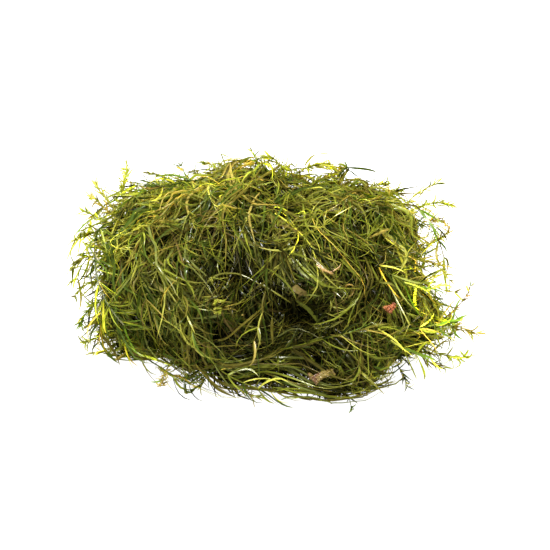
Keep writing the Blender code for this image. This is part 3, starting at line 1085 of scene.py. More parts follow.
def growStraws(name):
    spec = {**strawBase, **straws[name]}
    form = forms["straw"]
    draw = np.random.default_rng(spec["seed"])
    count = spec["count"]
    elevation = np.degrees(np.arcsin(draw.uniform(math.sin(math.radians(spec["lowest"])), 1, count)))
    start = towards(draw.uniform(0, 360, count), elevation)
    shares = np.linspace(0, 1, form["rings"] + 1)[:, None]
    height = drawRange(draw, spec["height"], count) + shares**2 * drawRange(draw, spec["tipRise"], count)
    turns = shares * drawRange(draw, spec["wavesAlong"], count) + draw.uniform(0, spec["phase"], count)
    height = height + spec["wave"] * np.sin(turns)
    length = drawRange(draw, spec["length"], count)[:, None]
    turn = draw.normal(0, spec["turn"], count)
    bend = draw.normal(0, spec["bend"], count)
    rise = drawRange(draw, sowing["rise"], count)
    lowest = spec["floorGap"]
    points, normals = layStrand(start, length, turn, bend, height[..., None], lowest, combedWay, rise)
    points = raised(points, lowest)
    widths = np.interp(shares, *spec["taper"]) * drawRange(draw, spec["halfWidth"], count)
    # strand tints carry the painted light and shade along them
    light = draw.lognormal(0, spec["brightness"], count) * paintedShadingAlong(points, spec)
    tints = paletteRows[drawKinds(draw, spec["kinds"], count)] * light[:, None]
    verts = sweep(form, points, normals, widths, widths, np.zeros(count))
    made = joinPieces(f"bare_{name}", [(form, verts, tints)])


for name in straws:
    growStraws(name)

# Locks of long smooth leaves that run side by side

locks = {
    "seed": 51,
    "locks": 260,
    "each": 6,
    "spread": 0.045,  # between the leaves of a lock, as a share of the heap's radius
    "elevations": (-24, 88),
    "length": (0.024, 0.062),
    "halfWidth": (0.00032, 0.00078),
    "height": (-0.0035, 0.0068),
    "tipRise": (-0.003, 0.005),
    "turn": (12, 9),  # degrees, of a lock and of each leaf in it
    "bend": (30, 16),
    "roll": 28,
    "twist": 55,
    "kinds": (0.08, 0.28, 0.24, 0.07, 0.22, 0.08, 0.04, 0.12),
    "brightness": 0.46,
    "lit": 0.0020,
    "shadeDepth": 0.0062,
    "darkest": 0.04,
    "brightest": 1.65,
    "floorGap": 0.0010,
    "scatter": 6,  # degrees of azimuth
    "heightScatter": 0.0014,
    "sideRise": 0.008,
    "lengthShares": (0.7, 1.2),
    "widthShares": (0.75, 1.2),
    "depthShare": 0.16,
    "fold": (0.1, 0.6),
    "highest": 1.6,
}
forms["long"] = makeForm(4, 11)


def growLocks():
    spec, form = locks, forms["long"]
    draw = np.random.default_rng(spec["seed"])
    bunches, each = spec["locks"], spec["each"]
    count = bunches * each
    lock = np.arange(count) // each
    low, high = (math.sin(math.radians(limit)) for limit in spec["elevations"])
    order = np.arange(bunches)
    elevation = np.degrees(np.arcsin(low + (high - low) * draw.permutation(order + 0.5) / bunches))
    azimuth = order * sowing["golden"] + draw.normal(0, spec["scatter"], bunches)
    middle = towards(azimuth, elevation)
    start = unitOf(middle[lock] + draw.normal(0, spec["spread"], (count, 3)))
    shares = np.linspace(0, 1, form["rings"] + 1)[:, None]
    height = drawRange(draw, spec["height"], bunches)[lock] + draw.normal(0, spec["heightScatter"], count)
    tipRise = drawRange(draw, spec["tipRise"], count) + spec["sideRise"] * start[:, 0] ** 4
    heights = (height + shares**2 * tipRise)[..., None]
    length = drawRange(draw, spec["length"], bunches)[lock] * drawRange(draw, spec["lengthShares"], count)
    turn, bend = (draw.normal(0, spec[key][0], bunches)[lock] + draw.normal(0, spec[key][1], count)
                  for key in ("turn", "bend"))
    turn = turn + waving(surfaceAt(start), swirl)
    rise = drawRange(draw, sowing["rise"], bunches)[lock]
    lowest = spec["floorGap"]
    points, normals = layStrand(start, length[:, None], turn, bend, heights, lowest, combedWay, rise)
    points = raised(points, lowest)
    tangents = unitOf(np.gradient(points, axis=0))
    roll = draw.normal(0, spec["roll"], count) + shares * draw.normal(0, spec["twist"], count)
    ups = turned(flattened(normals, tangents), tangents, roll)
    profile = np.interp(shares, leafShape["shares"], leafShape["widths"])
    widths = profile * drawRange(draw, spec["halfWidth"], bunches)[lock]
    widths = widths * drawRange(draw, spec["widthShares"], count)
    depths = np.maximum(widths * spec["depthShare"], leafShape["thickness"] / 2)
    verts = sweep(form, points, ups, widths, depths, drawRange(draw, spec["fold"], count))
    kinds = drawKinds(draw, spec["kinds"], bunches)[lock]
    strange = draw.uniform(0, 1, count) < sowing["strange"]
    kinds = np.where(strange, drawKinds(draw, spec["kinds"], count), kinds)
    # leaf tints carry the painted light and shade along them
    light = draw.lognormal(0, spec["brightness"], count) * paintedShadingAlong(points, spec)
    tints = paletteRows[kinds] * np.minimum(light, spec["highest"])[:, None]
    made = joinPieces("locks", [(form, verts, tints)])


growLocks()

# The loose sprigs, on the same stems and leaf tips as their solids

sprigPlan = {
    "count": 36,
    "tries": 40,
    "jitter": (14, 7),  # degrees of azimuth and of elevation
    "turn": 32,
    "length": (0.044, 0.066),
    "elevations": (-12, 74),
    "steps": 9,
    "heights": (0.0065, 0.0092),  # of the stems over the heap's surface, in turn
    "tipHeights": (0.0085, 0.0160),
    "rootDepth": 0.005,
    "rootShare": 0.2,
    "stemRadius": 0.00055,
    "whorlShares": (0.30, 0.46, 0.62, 0.78, 0.93),
    "whorlAngles": (0, 84, -84),
    "whorlTwist": (-14, 14),
    "leafLengths": (0.013, 0.021),
    "leafOpenings": (24, 46),
    "leafTipHeights": (0.0060, 0.0160),
    "topSettling": 0.45,
    "floorGap": 0.0009,
    "sameTip": 1e-5,  # within which a tip is the solid's
}


def smoothStep(low, high, value):
    share = min(max((value - low) / (high - low), 0.0), 1.0)
    return share * share * (3 - 2 * share)


def spreadOut(index, count, elevations):
    low, high = (math.sin(math.radians(limit)) for limit in elevations)
    elevation = math.degrees(math.asin(low + (high - low) * (index + 0.5) / count))
    return index * sowing["golden"], elevation


def placeOn(points, normals, share):
    place = share * (len(points) - 1)
    index = min(int(place), len(points) - 2)
    ahead = unitOf(points[index + 1] - points[index])
    point = points[index] + (points[index + 1] - points[index]) * (place - index)
    normal = normals[index] + (normals[index + 1] - normals[index]) * (place - index)
    return point, ahead, flattened(normal, ahead)


def settled(point, heights, lowest):
    outward = point - heap["middle"]
    unit = unitOf(outward)
    radius = heapRadius(unit)
    highest = heights[1] * (1 - sprigPlan["topSettling"] * max(unit[2], 0))
    distance = min(max(np.linalg.norm(outward), radius + heights[0]), radius + highest)
    point = heap["middle"] + unit * distance
    point[2] = max(point[2], lowest)
    return point


def planLeaf(draw, point, ahead, outward):
    opening = math.radians(draw.uniform(*sprigPlan["leafOpenings"]))
    way = ahead * math.cos(opening) + outward * math.sin(opening)
    reach = point + way * draw.uniform(*sprigPlan["leafLengths"])
    tip = settled(reach, sprigPlan["leafTipHeights"], sprigPlan["floorGap"])
    return {"outward": outward, "root": point, "tip": tip}


def planSprig(index, attempt):
    draw = random.Random(f"sprig {index} {attempt}")
    azimuth, elevation = spreadOut(index, sprigPlan["count"], sprigPlan["elevations"])
    jitter = sprigPlan["jitter"]
    azimuth += draw.uniform(-jitter[0], jitter[0])
    start = towards(azimuth, elevation + draw.uniform(-jitter[1], jitter[1]))
    tipHeight = draw.uniform(*sprigPlan["tipHeights"]) * (1 - sprigPlan["topSettling"] * max(start[2], 0))
    stemHeight = sprigPlan["heights"][index % len(sprigPlan["heights"])]
    rootDepth = sprigPlan["rootDepth"]
    heights = []
    for step in range(sprigPlan["steps"] + 1):
        share = step / sprigPlan["steps"]
        height = smoothStep(0, sprigPlan["rootShare"], share) * (rootDepth + stemHeight) - rootDepth
        heights.append(height + smoothStep(0.5, 1, share) * (tipHeight - stemHeight))
    length = draw.uniform(*sprigPlan["length"])
    most = sprigPlan["turn"]
    turn, bend = draw.uniform(-most, most), draw.uniform(-most, most)
    lowest = sprigPlan["floorGap"] + sprigPlan["stemRadius"]
    points, normals = layStrand(start, length, turn, bend, heights, lowest)
    leaves = []
    for share in sprigPlan["whorlShares"]:
        point, ahead, up = placeOn(points, normals, share)
        twist = draw.uniform(*sprigPlan["whorlTwist"])
        for angle in sprigPlan["whorlAngles"]:
            outward = turned(up, ahead, np.array(angle + twist))
            leaves.append(planLeaf(draw, point, ahead, outward))
    return {"points": points, "normals": normals, "leaves": leaves}


def matchPlans():  # which plan each solid was made from, by its leaf tips
    names = sorted(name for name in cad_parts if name.startswith("sprig_"))
    found = {}
    for index in range(sprigPlan["count"]):
        if len(found) == len(names):
            break
        name = names[len(found)]
        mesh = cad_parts[name].data
        corners = np.zeros(len(mesh.vertices) * 3)
        mesh.vertices.foreach_get("co", corners)
        corners = corners.reshape(-1, 3)
        for attempt in range(sprigPlan["tries"]):
            plan = planSprig(index, attempt)
            tips = [plan["leaves"][0]["tip"], plan["leaves"][-1]["tip"]]
            if all(np.linalg.norm(corners - tip, axis=1).min() < sprigPlan["sameTip"] for tip in tips):
                found[name] = plan
                break
    return found


fineSprig = {
    "seed": 700,
    "stemWidths": (0.00052, 0.00024),
    "stemKinds": (0, 0.3, 0.3, 0.1, 0.2, 0.1, 0, 0),
    "halfWidth": (0.00036, 0.00072),
    "fold": (0.1, 0.5),
    "twist": 40,
    "bow": (0.0005, 0.0035),
    "sideBow": 0.0016,
    "extra": {  # more leaves between the solid's own
        "around": (-130, 130),
        "opening": (6, 42),
        "leafLength": (0.010, 0.020),
        "sideBend": 40,
        "roll": 40,
        "twist": 50,
        "halfWidth": (0.00028, 0.00060),
        "fold": (0.1, 0.5),
        "reach": (0.006, 0.016),
        "sideReach": 0.2,
        "reachPower": 1.5,
        "topSettling": 0.45,
        "floorGap": 0.0008,
    },
    "extraLeaves": 3,
    "whorls": 11,
    "whorlShares": (0.22, 0.97),
    "kinds": (0.08, 0.30, 0.30, 0.10, 0.14, 0.03, 0.05, 0.12),
    "brightness": 0.3,
    "leafBrightness": 0.25,
    "lit": 0.006,
    "shadeDepth": 0.012,
    "darkest": 0.5,
    "brightest": 1.5,
}


def finer(line, shares):  # a line of points read off at these shares of its length
    steps = np.linspace(0, 1, len(line))
    return np.stack([np.interp(shares, steps, line[:, axis]) for axis in range(3)], axis=-1)


def makeFineSprig(name, plan, number):
    spec = fineSprig
    draw = np.random.default_rng(spec["seed"] + number)
    form, stemForm, extraForm = forms["broad"], forms["stem"], forms["fine"]
    shares = np.linspace(0, 1, stemForm["rings"] + 1)
    points, normals = finer(plan["points"], shares), finer(plan["normals"], shares)
    width = np.linspace(*spec["stemWidths"], len(shares))[:, None]
    stem = sweep(stemForm, points[:, None], normals[:, None], width, width, np.zeros(1))
    keys = ("root", "tip", "outward")
    roots, tips, outwards = (np.array([leaf[key] for leaf in plan["leaves"]]) for key in keys)
    count = len(roots)
    bow = outwards * drawRange(draw, spec["bow"], count)[:, None]
    side = unitOf(np.cross(tips - roots, outwards)) * draw.normal(0, spec["sideBow"], count)[:, None]
    t = leafSteps(form)[:, None, None]
    curve = roots * (1 - t) + tips * t + (bow + side) * 4 * t * (1 - t)
    tangents = unitOf(np.gradient(curve, axis=0))
    twist = np.linspace(0, 1, len(curve))[:, None] * draw.normal(0, spec["twist"], count)
    frames = turned(flattened(np.broadcast_to(outwards, curve.shape), tangents), tangents, twist)
    profile = np.interp(t[:, 0], leafShape["shares"], leafShape["widths"])
    widths = profile * drawRange(draw, spec["halfWidth"], count)
    depths = np.full_like(widths, leafShape["thickness"] / 2)
    leaves = sweep(form, curve, frames, widths, depths, drawRange(draw, spec["fold"], count))
    whorls = [placeOn(points, normals, share) for share in np.linspace(*spec["whorlShares"], spec["whorls"])]
    each = spec["extraLeaves"]
    extraRoots, aheads, ups = (np.repeat(np.array(part), each, axis=0) for part in zip(*whorls))
    extras = growLeaves(draw, extraForm, extraRoots, aheads, ups, spec["extra"])
    own = draw.lognormal(0, spec["brightness"])
    stemTint = paletteRows[drawKinds(draw, spec["stemKinds"], 1)] * own
    # leaf tints carry the painted light and shade at their tips and at the extra roots
    leafLight = draw.lognormal(0, spec["leafBrightness"], count) * own * paintedShading(tips, spec)
    leafTints = paletteRows[drawKinds(draw, spec["kinds"], count)] * leafLight[:, None]
    many = len(extraRoots)
    extraLight = draw.lognormal(0, spec["brightness"], many) * own * paintedShading(extraRoots, spec)
    extraTints = paletteRows[drawKinds(draw, spec["kinds"], many)] * extraLight[:, None]
    parts = [(stemForm, stem, stemTint), (form, leaves, leafTints), (extraForm, extras, extraTints)]
    piece = joinPieces(f"fine_{name}", parts)
    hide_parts(name)


plans = matchPlans()
print("plans matched", len(plans))
for number, (name, plan) in enumerate(plans.items()):
    makeFineSprig(name, plan, number)

# Strands that stand out in front, placed one by one in the picture


def smoothLine(points, count):  # a smooth line through the points
    ends = np.concatenate((points[:1] * 2 - points[1:2], points, points[-1:] * 2 - points[-2:-1]))
    place = np.linspace(0, len(points) - 1, count)
    index = np.minimum(place.astype(int), len(points) - 2)
    t = (place - index)[:, None]
    a, b, c, d = (ends[index + step] for step in range(4))
    return 0.5 * (2 * b + (c - a) * t + (2 * a - 5 * b + 4 * c - d) * t**2 + (3 * b - a - 3 * c + d) * t**3)


def seenLine(form, pixels, heights, lowest=0):  # points, directions and normals along a line of pixels
    pixels = np.array(pixels, float)
    points = smoothLine(atPixel(pixels, np.broadcast_to(heights, len(pixels))), form["rings"] + 1)
    points[:, 2] = np.maximum(points[:, 2], lowest)
    tangents = unitOf(np.gradient(points, axis=0))
    return points, tangents, flattened(unitOf(points - heap["middle"]), tangents)


forms["blade"] = makeForm(4, 12)
forms["cord"] = makeForm(5, 18)

placed = (  # form, colour, brightness, half width in mm, height over the tangle in mm, pixels
    ("cord", "straw", 1.2, 0.34, 8, ((326, 334.5), (339, 336), (354, 342), (374, 349), (386, 355),
                                     (404, 367.5))),
    ("cord", "lime", 1.0, 0.26, 8, ((357, 331.6), (376, 331), (396, 328.7))),
    ("cord", "straw", 1.1, 0.30, 8.5, ((370, 344.8), (390, 335), (414, 322.8))),
    ("blade", "fresh", 1.0, 0.55, 8, ((348, 325.7), (352.4, 340.4), (358.3, 369.7))),
    ("blade", "fresh", 0.9, 0.95, 8, ((296.7, 300.8), (308.4, 309.6), (318.7, 322.8), (326, 330))),
    ("cord", "lime", 0.9, 0.40, 7.5, ((260, 283), (279, 295), (293.7, 304.5))),
    ("blade", "lime", 1.0, 0.50, 8, ((368.5, 325.7), (371.5, 308), (378.8, 295), (381.8, 283))),
    ("blade", "fresh", 1.1, 0.55, 8.5, ((379.6, 282.5), (386, 268), (387, 256))),
    ("blade", "fresh", 1.1, 0.55, 8.5, ((379.6, 282.5), (372, 268), (367, 253))),
    ("blade", "lime", 0.9, 0.50, 8.5, ((379.6, 282.5), (391, 284), (404, 293))),
    ("blade", "fresh", 1.0, 0.60, 8.5, ((379.6, 282.5), (370, 289), (363, 296))),
    ("blade", "green", 0.9, 0.55, 8, ((379.6, 282.5), (388, 296), (392, 308))),
    ("blade", "green", 0.7, 1.05, 7.5, ((389, 300.8), (400.8, 289), (411, 273))),
    ("cord", "olive", 1.2, 0.40, 5, ((258, 333), (279, 331), (298, 333), (317, 334))),
    ("blade", "green", 0.6, 0.70, 7, ((334, 371), (342, 358), (349, 347))),
    ("blade", "lime", 1.1, 0.65, 8, ((359, 370), (371.5, 381.5), (386, 396))),
    ("blade", "fresh", 1.0, 0.50, 7, ((380.3, 387.4), (388, 383), (396, 380))),
    ("blade", "fresh", 1.1, 0.75, 7.5, ((276, 364), (289, 371), (302.5, 378.5), (315, 386))),
    ("cord", "straw", 0.9, 0.26, 5, ((228, 388), (252, 387), (281, 391))),
    ("cord", "lime", 0.7, 0.50, 8.5, ((197.5, 303), (201.7, 291), (208.7, 281), (218.5, 274.7),
                                      (228.4, 273.3), (241, 274.7), (256.4, 282.4), (280, 296.5))),
    ("cord", "lime", 0.9, 0.30, 8, ((120.5, 302), (121.7, 309), (127.3, 313.3), (135.8, 312.6), (141, 308))),
    ("cord", "fresh", 1.2, 0.34, 8.5, ((130, 285), (136.5, 299.3), (140, 312), (145.6, 326), (152.6, 337),
                                       (161, 349.8), (171, 366))),
    ("cord", "fresh", 1.0, 0.36, 8, ((166.6, 344), (179.3, 356.8), (190.5, 368), (209, 388))),
    ("blade", "olive", 1.4, 1.20, 7.5, ((199, 360), (207.3, 376.5), (218.6, 389), (237, 398))),
    ("cord", "olive", 1.7, 0.60, 8, ((210, 341), (225.6, 338.6), (241, 326), (256.4, 313.3), (272, 299))),
    ("cord", "olive", 1.5, 0.36, 8, ((201, 348), (225, 346), (252, 345))),
    ("blade", "green", 1.3, 0.90, 7.5, ((117, 318), (126, 330), (138.6, 338.6), (151, 348))),
    ("blade", "deep", 2.2, 0.80, 8, ((88, 327), (91, 313), (97, 298))),
    ("cord", "straw", 0.9, 0.12, 12, ((60, 309), (68.4, 286.7), (73, 274))),
    ("blade", "fresh", 1.2, 0.50, 8, ((142, 271), (150, 265), (157.5, 261))),
    ("blade", "fresh", 1.1, 0.50, 8, ((138, 218), (149.8, 208.8), (161, 203.8), (176, 201.5))),
    ("blade", "fresh", 0.9, 0.50, 8, ((150.5, 239), (161, 227), (170.8, 217.2), (181.5, 210))),
    ("blade", "lime", 1.0, 0.45, 8.5, ((179, 246), (183.5, 227), (189, 213), (196, 208.8), (202.5, 211.6))),
    ("cord", "brown", 1.5, 0.60, 7.5, ((169, 226), (176.5, 243.8), (182, 260.7), (191, 287))),
    ("blade", "olive", 1.7, 0.60, 8, ((149, 244), (158.2, 259.3), (171.5, 273))),
    ("blade", "lime", 0.9, 0.40, 8, ((146, 278), (154, 273), (162, 267))),
    ("blade", "lime", 1.0, 0.50, 8, ((195, 195), (202, 198), (208, 202))),
    ("cord", "olive", 1.6, 0.70, 8.5, ((281, 165), (256.4, 180.7), (242.4, 192), (213, 219.5))),
    ("cord", "straw", 1.0, 0.24, 8, ((241, 193), (253.6, 197.5), (271, 207.5))),
    ("cord", "olive", 1.4, 0.36, 8, ((208, 224), (228, 226), (255, 221))),
    ("cord", "brown", 1.3, 0.40, 8, ((208, 224), (235, 237), (268.5, 249.5))),
    ("cord", "olive", 1.3, 0.34, 8, ((208, 224), (232, 231), (262, 233))),
    ("cord", "lime", 0.9, 0.30, 9, ((97, 187), (106.3, 192), (116, 200.3), (122, 219.5))),
    ("blade", "fresh", 1.0, 0.40, 12, ((125, 180), (127, 172), (131, 162))),
    ("cord", "fresh", 1.0, 0.30, 9, ((71, 287), (74, 266.3), (70.5, 252.2), (78.2, 235.4), (93, 222))),
    ("blade", "green", 0.7, 1.20, 7.5, ((272, 204), (290, 195), (305.7, 188.4), (332, 185.5), (354, 187.5))),
    ("cord", "lime", 0.9, 0.55, 8.5, ((318, 190.5), (341, 197.2), (361.5, 209), (367.4, 228), (366.5, 251))),
    ("blade", "fresh", 1.3, 0.60, 8.5, ((303, 203), (304.3, 219.2), (308.7, 229.5), (316.5, 234.5))),
    ("blade", "lime", 0.9, 0.55, 8, ((315, 215), (326.3, 229.5), (343.9, 238.3), (361, 249))),
    ("blade", "fresh", 1.0, 0.60, 8, ((340, 259), (352.7, 272), (366.5, 287.5))),
    ("cord", "olive", 1.7, 0.45, 8, ((380, 233), (396.7, 244.2), (411.4, 257.4), (426.5, 278.5))),
    ("cord", "lime", 1.0, 0.30, 12, ((438, 205.5), (446, 205), (454.5, 203))),
    ("blade", "lime", 0.9, 0.40, 12, ((418, 198), (426, 188.4), (438.5, 183.5))),
    ("blade", "lime", 1.1, 0.60, 9, ((305, 165), (313, 156.1), (324.8, 153.9), (339, 155))),
    ("cord", "fresh", 1.0, 0.36, 9, ((308, 167), (320, 164), (332, 162.5))),
    ("cord", "straw", 0.8, 0.10, 14, ((385, 184), (386.4, 165), (388.6, 144.4))),
    ("blade", "olive", 1.5, 0.95, 6.5, ((205, 372), (225, 384), (250, 388), (275, 391), (300, 397))),
    ("blade", "fresh", 0.8, 0.75, 6, ((215, 380), (240, 387), (262, 386))),
    ("blade", "olive", 1.6, 0.85, 6, ((255, 388), (280, 391), (305, 397), (330, 400), (350, 396))),
    ("blade", "olive", 1.5, 0.80, 6, ((300, 396), (325, 400), (352, 397), (380, 388), (398, 380))),
    ("blade", "fresh", 0.8, 0.60, 7, ((330, 392), (355, 391), (380, 384), (400, 374))),
    ("cord", "olive", 1.8, 0.45, 7, ((262, 372), (285, 380), (310, 388), (335, 392))),
    ("cord", "lime", 0.7, 0.35, 7.5, ((300, 384), (330, 388), (360, 382), (385, 378))),
    ("blade", "paintedSheen", 1.0, 0.70, 7.5, ((285, 366), (300, 376), (318, 384), (345, 388))),
    ("cord", "fresh", 1.0, 0.40, 7, ((118, 330), (140, 346), (165, 360), (190, 378))),
    ("blade", "olive", 1.5, 0.70, 7, ((150, 350), (175, 368), (200, 386), (222, 394))),
    ("blade", "fresh", 0.9, 0.55, 7.5, ((160, 352), (185, 372), (205, 384))),
    ("cord", "olive", 1.7, 0.45, 7.5, ((185, 350), (200, 370), (218, 386), (240, 391))),
    ("blade", "olive", 1.5, 0.80, 8, ((148, 318), (158, 340), (174, 358), (192, 372))),
    ("blade", "paintedSheen", 1.0, 0.60, 8, ((108, 210), (101, 232), (96, 256), (95, 282))),
    ("blade", "green", 1.5, 0.80, 8, ((124, 196), (116, 218), (112, 242), (114, 262))),
    ("cord", "olive", 1.7, 0.42, 8, ((262, 168), (246, 186), (226, 200), (205, 226), (196, 248))),
    ("blade", "olive", 1.6, 0.70, 8.5, ((250, 176), (232, 190), (214, 206), (206, 216))),
    ("blade", "fresh", 0.9, 0.65, 8.5, ((286, 170), (310, 168), (332, 170), (356, 178))),
    ("blade", "lime", 0.8, 0.50, 8.5, ((292, 182), (316, 178), (344, 182), (372, 192))),
    ("blade", "fresh", 0.9, 0.65, 8.5, ((356, 192), (378, 194), (400, 202), (420, 214))),
    ("blade", "olive", 1.5, 0.60, 8.5, ((388, 206), (404, 222), (418, 244), (430, 268))),
    ("cord", "brown", 3.0, 0.45, 8.5, ((345, 287), (348, 284.6), (352, 285), (353.6, 288.6))),
    ("cord", "brown", 2.4, 0.35, 8.5, ((353, 290), (352.6, 294), (349.6, 296.6), (347.6, 299))),
    ("blade", "brown", 1.7, 1.70, 8.5, ((294, 286), (298, 290), (304, 293), (309, 298))),
    ("blade", "brown", 1.3, 1.10, 9.0, ((297, 299), (301, 294), (307, 291))),
    ("cord", "brown", 3.4, 0.45, 8.5, ((145.6, 295), (147.6, 293.4))),
    ("cord", "brown", 3.0, 0.40, 8.5, ((320.6, 341), (322.6, 339.6))),
    ("cord", "brown", 3.2, 0.40, 8.5, ((241.6, 315.4), (244.4, 314))),
)

placing = {
    "seed": 900,
    "raise": 1,  # mm over the table's heights
    "ends": (0.08, 0.92),  # shares of a strand's length outside which it goes down no further
    "floorGap": 0.0012,
    "bladeDepth": 0.12,  # as a share of the width
    "bladeFold": 0.3,
    "cordTaper": ((0, 0.1, 0.7, 1), (0.7, 1, 0.85, 0.35)),
    "twist": 25,
    "roll": 20,
}


def makePlaced():
    spec, parts = placing, {}
    for number, (form, colour, brightness, halfWidth, height, pixels) in enumerate(placed):
        draw = np.random.default_rng(spec["seed"] + number)
        shares = np.clip(np.linspace(0, 1, len(pixels)), *spec["ends"])
        heights = (height + spec["raise"]) * (0.5 + 0.5 * np.sin(math.pi * shares)) / 1000
        points, tangents, normals = seenLine(forms[form], pixels, heights, spec["floorGap"])
        steps = np.linspace(0, 1, len(points))
        if form == "blade":
            widths = np.interp(steps, leafShape["shares"], leafShape["widths"]) * (halfWidth / 1000)
            depths = np.maximum(widths * spec["bladeDepth"], leafShape["thickness"] / 2)
            fold = spec["bladeFold"]
        else:
            widths = np.interp(steps, *spec["cordTaper"]) * (halfWidth / 1000)
            depths, fold = widths, 0.0
        roll = steps * draw.normal(0, spec["twist"]) + draw.normal(0, spec["roll"])
        ups = turned(normals, tangents, roll)
        line = (part[:, None] for part in (points, ups, widths, depths))
        verts, tints = parts.setdefault(form, ([], []))
        verts.append(sweep(forms[form], *line, np.full(1, fold)))
        # the tint carries the painted light of longLift
        tints.append(paletteRows[list(palette).index(colour)] * brightness * longLift)
    joined = [(forms[form], np.concatenate(verts), np.array(tints)) for form, (verts, tints) in parts.items()]
    made = joinPieces("front_strands", joined)


makePlaced()

# Dead scraps and the twig, on the solids of their form

scraps = {
    "rust_leaf_scrap": {
        "slot": "rust_leaf",
        "height": 0.0094,
        "sheets": (  # outline in pixels, bulge and crumple in metres, thickness in metres
            (((383, 306.8), (386.5, 305.6), (390.3, 305), (393.2, 303), (395, 303.2), (395.5, 307.2),
              (393.4, 309.3), (391.6, 313.2), (389, 313), (387.2, 311.2), (384.8, 309.3)),
             0.0012, 0.0007, 0.0007),
        ),
        "first": (0.46, 0.175, 0.070, 1),
        "second": (0.24, 0.085, 0.045, 1),
        "speck": (0.60, 0.32, 0.22, 1),
        "end": (0.36, 0.15, 0.05, 1),
        "stripe": 0.1,
    },
    "brown_leaf_scrap": {
        "slot": "brown_leaf",
        "height": 0.0092,
        "sheets": (
            (((307.4, 374), (309.6, 372.8), (313.4, 375), (316, 376.4), (317, 384.6), (313.6, 382),
              (309.6, 378.6)),
             0.0008, 0.0003, 0.0004),
            (((312, 377.6), (314, 375.4), (319.6, 372.6), (326, 370.4), (332, 369), (333.8, 373),
              (336, 375.4), (330, 376.3), (324, 378), (320, 381), (317, 384.6), (314, 381)),
             0.0010, 0.0003, 0.0004),
        ),
        "first": (0.200, 0.155, 0.036, 1),
        "second": (0.270, 0.200, 0.060, 1),
        "speck": (0.12, 0.075, 0.030, 1),
        "end": (0.130, 0.062, 0.038, 1),
        "stripe": 0.45,
    },
    "curled_leaf": {
        "slot": "yellow_leaf",
        "height": 0.0106,
        "sheets": (
            (((212, 305.2), (213.6, 302.4), (215, 299.4), (218.6, 299.1), (219, 302.4), (217, 303.4),
              (215.4, 305.6)),
             0.0010, 0.0004, 0.0005),
            (((217.6, 299.4), (223, 300), (226.2, 299.2), (225, 301.8), (222.6, 303.8), (220.6, 302.8),
              (218, 303)),
             0.0010, 0.0004, 0.0005),
            (((213.2, 308.8), (215, 307.1), (218.4, 307.5), (222, 307.3), (221.6, 309), (217, 309.6),
              (214, 310)),
             0.0010, 0.0003, 0.0005),
            (((212.8, 310.4), (216, 310.6), (221.6, 310), (221, 313.4), (218, 315), (214.6, 314)),
             0.0014, 0.0004, 0.0005),
        ),
        "first": (0.270, 0.300, 0.026, 1),
        "second": (0.190, 0.190, 0.020, 1),
        "speck": (0.46, 0.42, 0.10, 1),
        "end": (0.22, 0.19, 0.03, 1),
        "stripe": 0.15,
    },
}
scrapSheet = {
    "segments": 26,
    "tilt": 0.45,  # how far a sheet turns from the camera to lie on the heap
    "outlineSteps": 25,  # between two corners of the outline
    "ragged": ((0.05, 17, 0), (0.04, 31, 1)),  # share of the edge's reach, waves round it, and their start
    "crumples": (1.3, 1.7, 2.9, -2.3),  # radians a pixel, of a large wave each way and a small one aslant
    "sharpAngle": math.radians(45),
}
twig = {
    "slot": "twig",
    "height": 0.0095,
    "parts": (  # half widths in mm along it, and pixels
        ((0.25, 0.60, 0.62, 0.50, 0.55, 0.20),
         ((316.4, 265.2), (319.6, 266), (323, 269.4), (328.6, 272), (331.4, 273.6), (334.6, 273.9))),
        ((0.42, 0.36, 0.38, 0.34, 0.30, 0.16),
         ((330, 272.4), (333.4, 271), (336.6, 269), (339.2, 267), (340.8, 263.6))),
        ((0.40, 0.34, 0.26, 0.20, 0.16, 0.10), ((321.4, 268.4), (322.4, 270.6), (323, 273))),
    ),
    "knots": ((0.10, 19), (0.06, 37)),  # share of the width, and radians along a part
    "flat": 0.85,  # depth as a share of the width
    "first": (0.40, 0.26, 0.085, 1),
    "second": (0.28, 0.165, 0.060, 1),
    "speck": (0.66, 0.50, 0.24, 1),
    "end": (0.30, 0.15, 0.085, 1),
    "stripe": 0.25,
}
forms["twig"] = makeForm(8, 20)

scrapFinish = {
    "mottle": (900, 4),  # scale and detail of the noise
    "grain": (2400, 2),
    "patches": (4, -1.5),  # slope and start of the second colour
    "wavy": (5, 24),  # how the stripes turn with the mottle and across the sheet
    "stripeColour": (0.02, 0.015, 0.005, 1),
    "firstEnd": (-5, 1.6, 0.85),  # slope, start and share of the colour at its first end
    "specks": (9, -5.2, 0.8),  # slope, start and share
    "dull": (0.4, 0.2),  # roughness that the mottle adds, and the least
    "relief": (0.6, -0.6),  # of the grain and of the stripes
    "bump": 0.5,
    "coat": 0.3,
}
scrapColours = {"First": "first", "Second": "second", "Speck": "speck", "End": "end"}


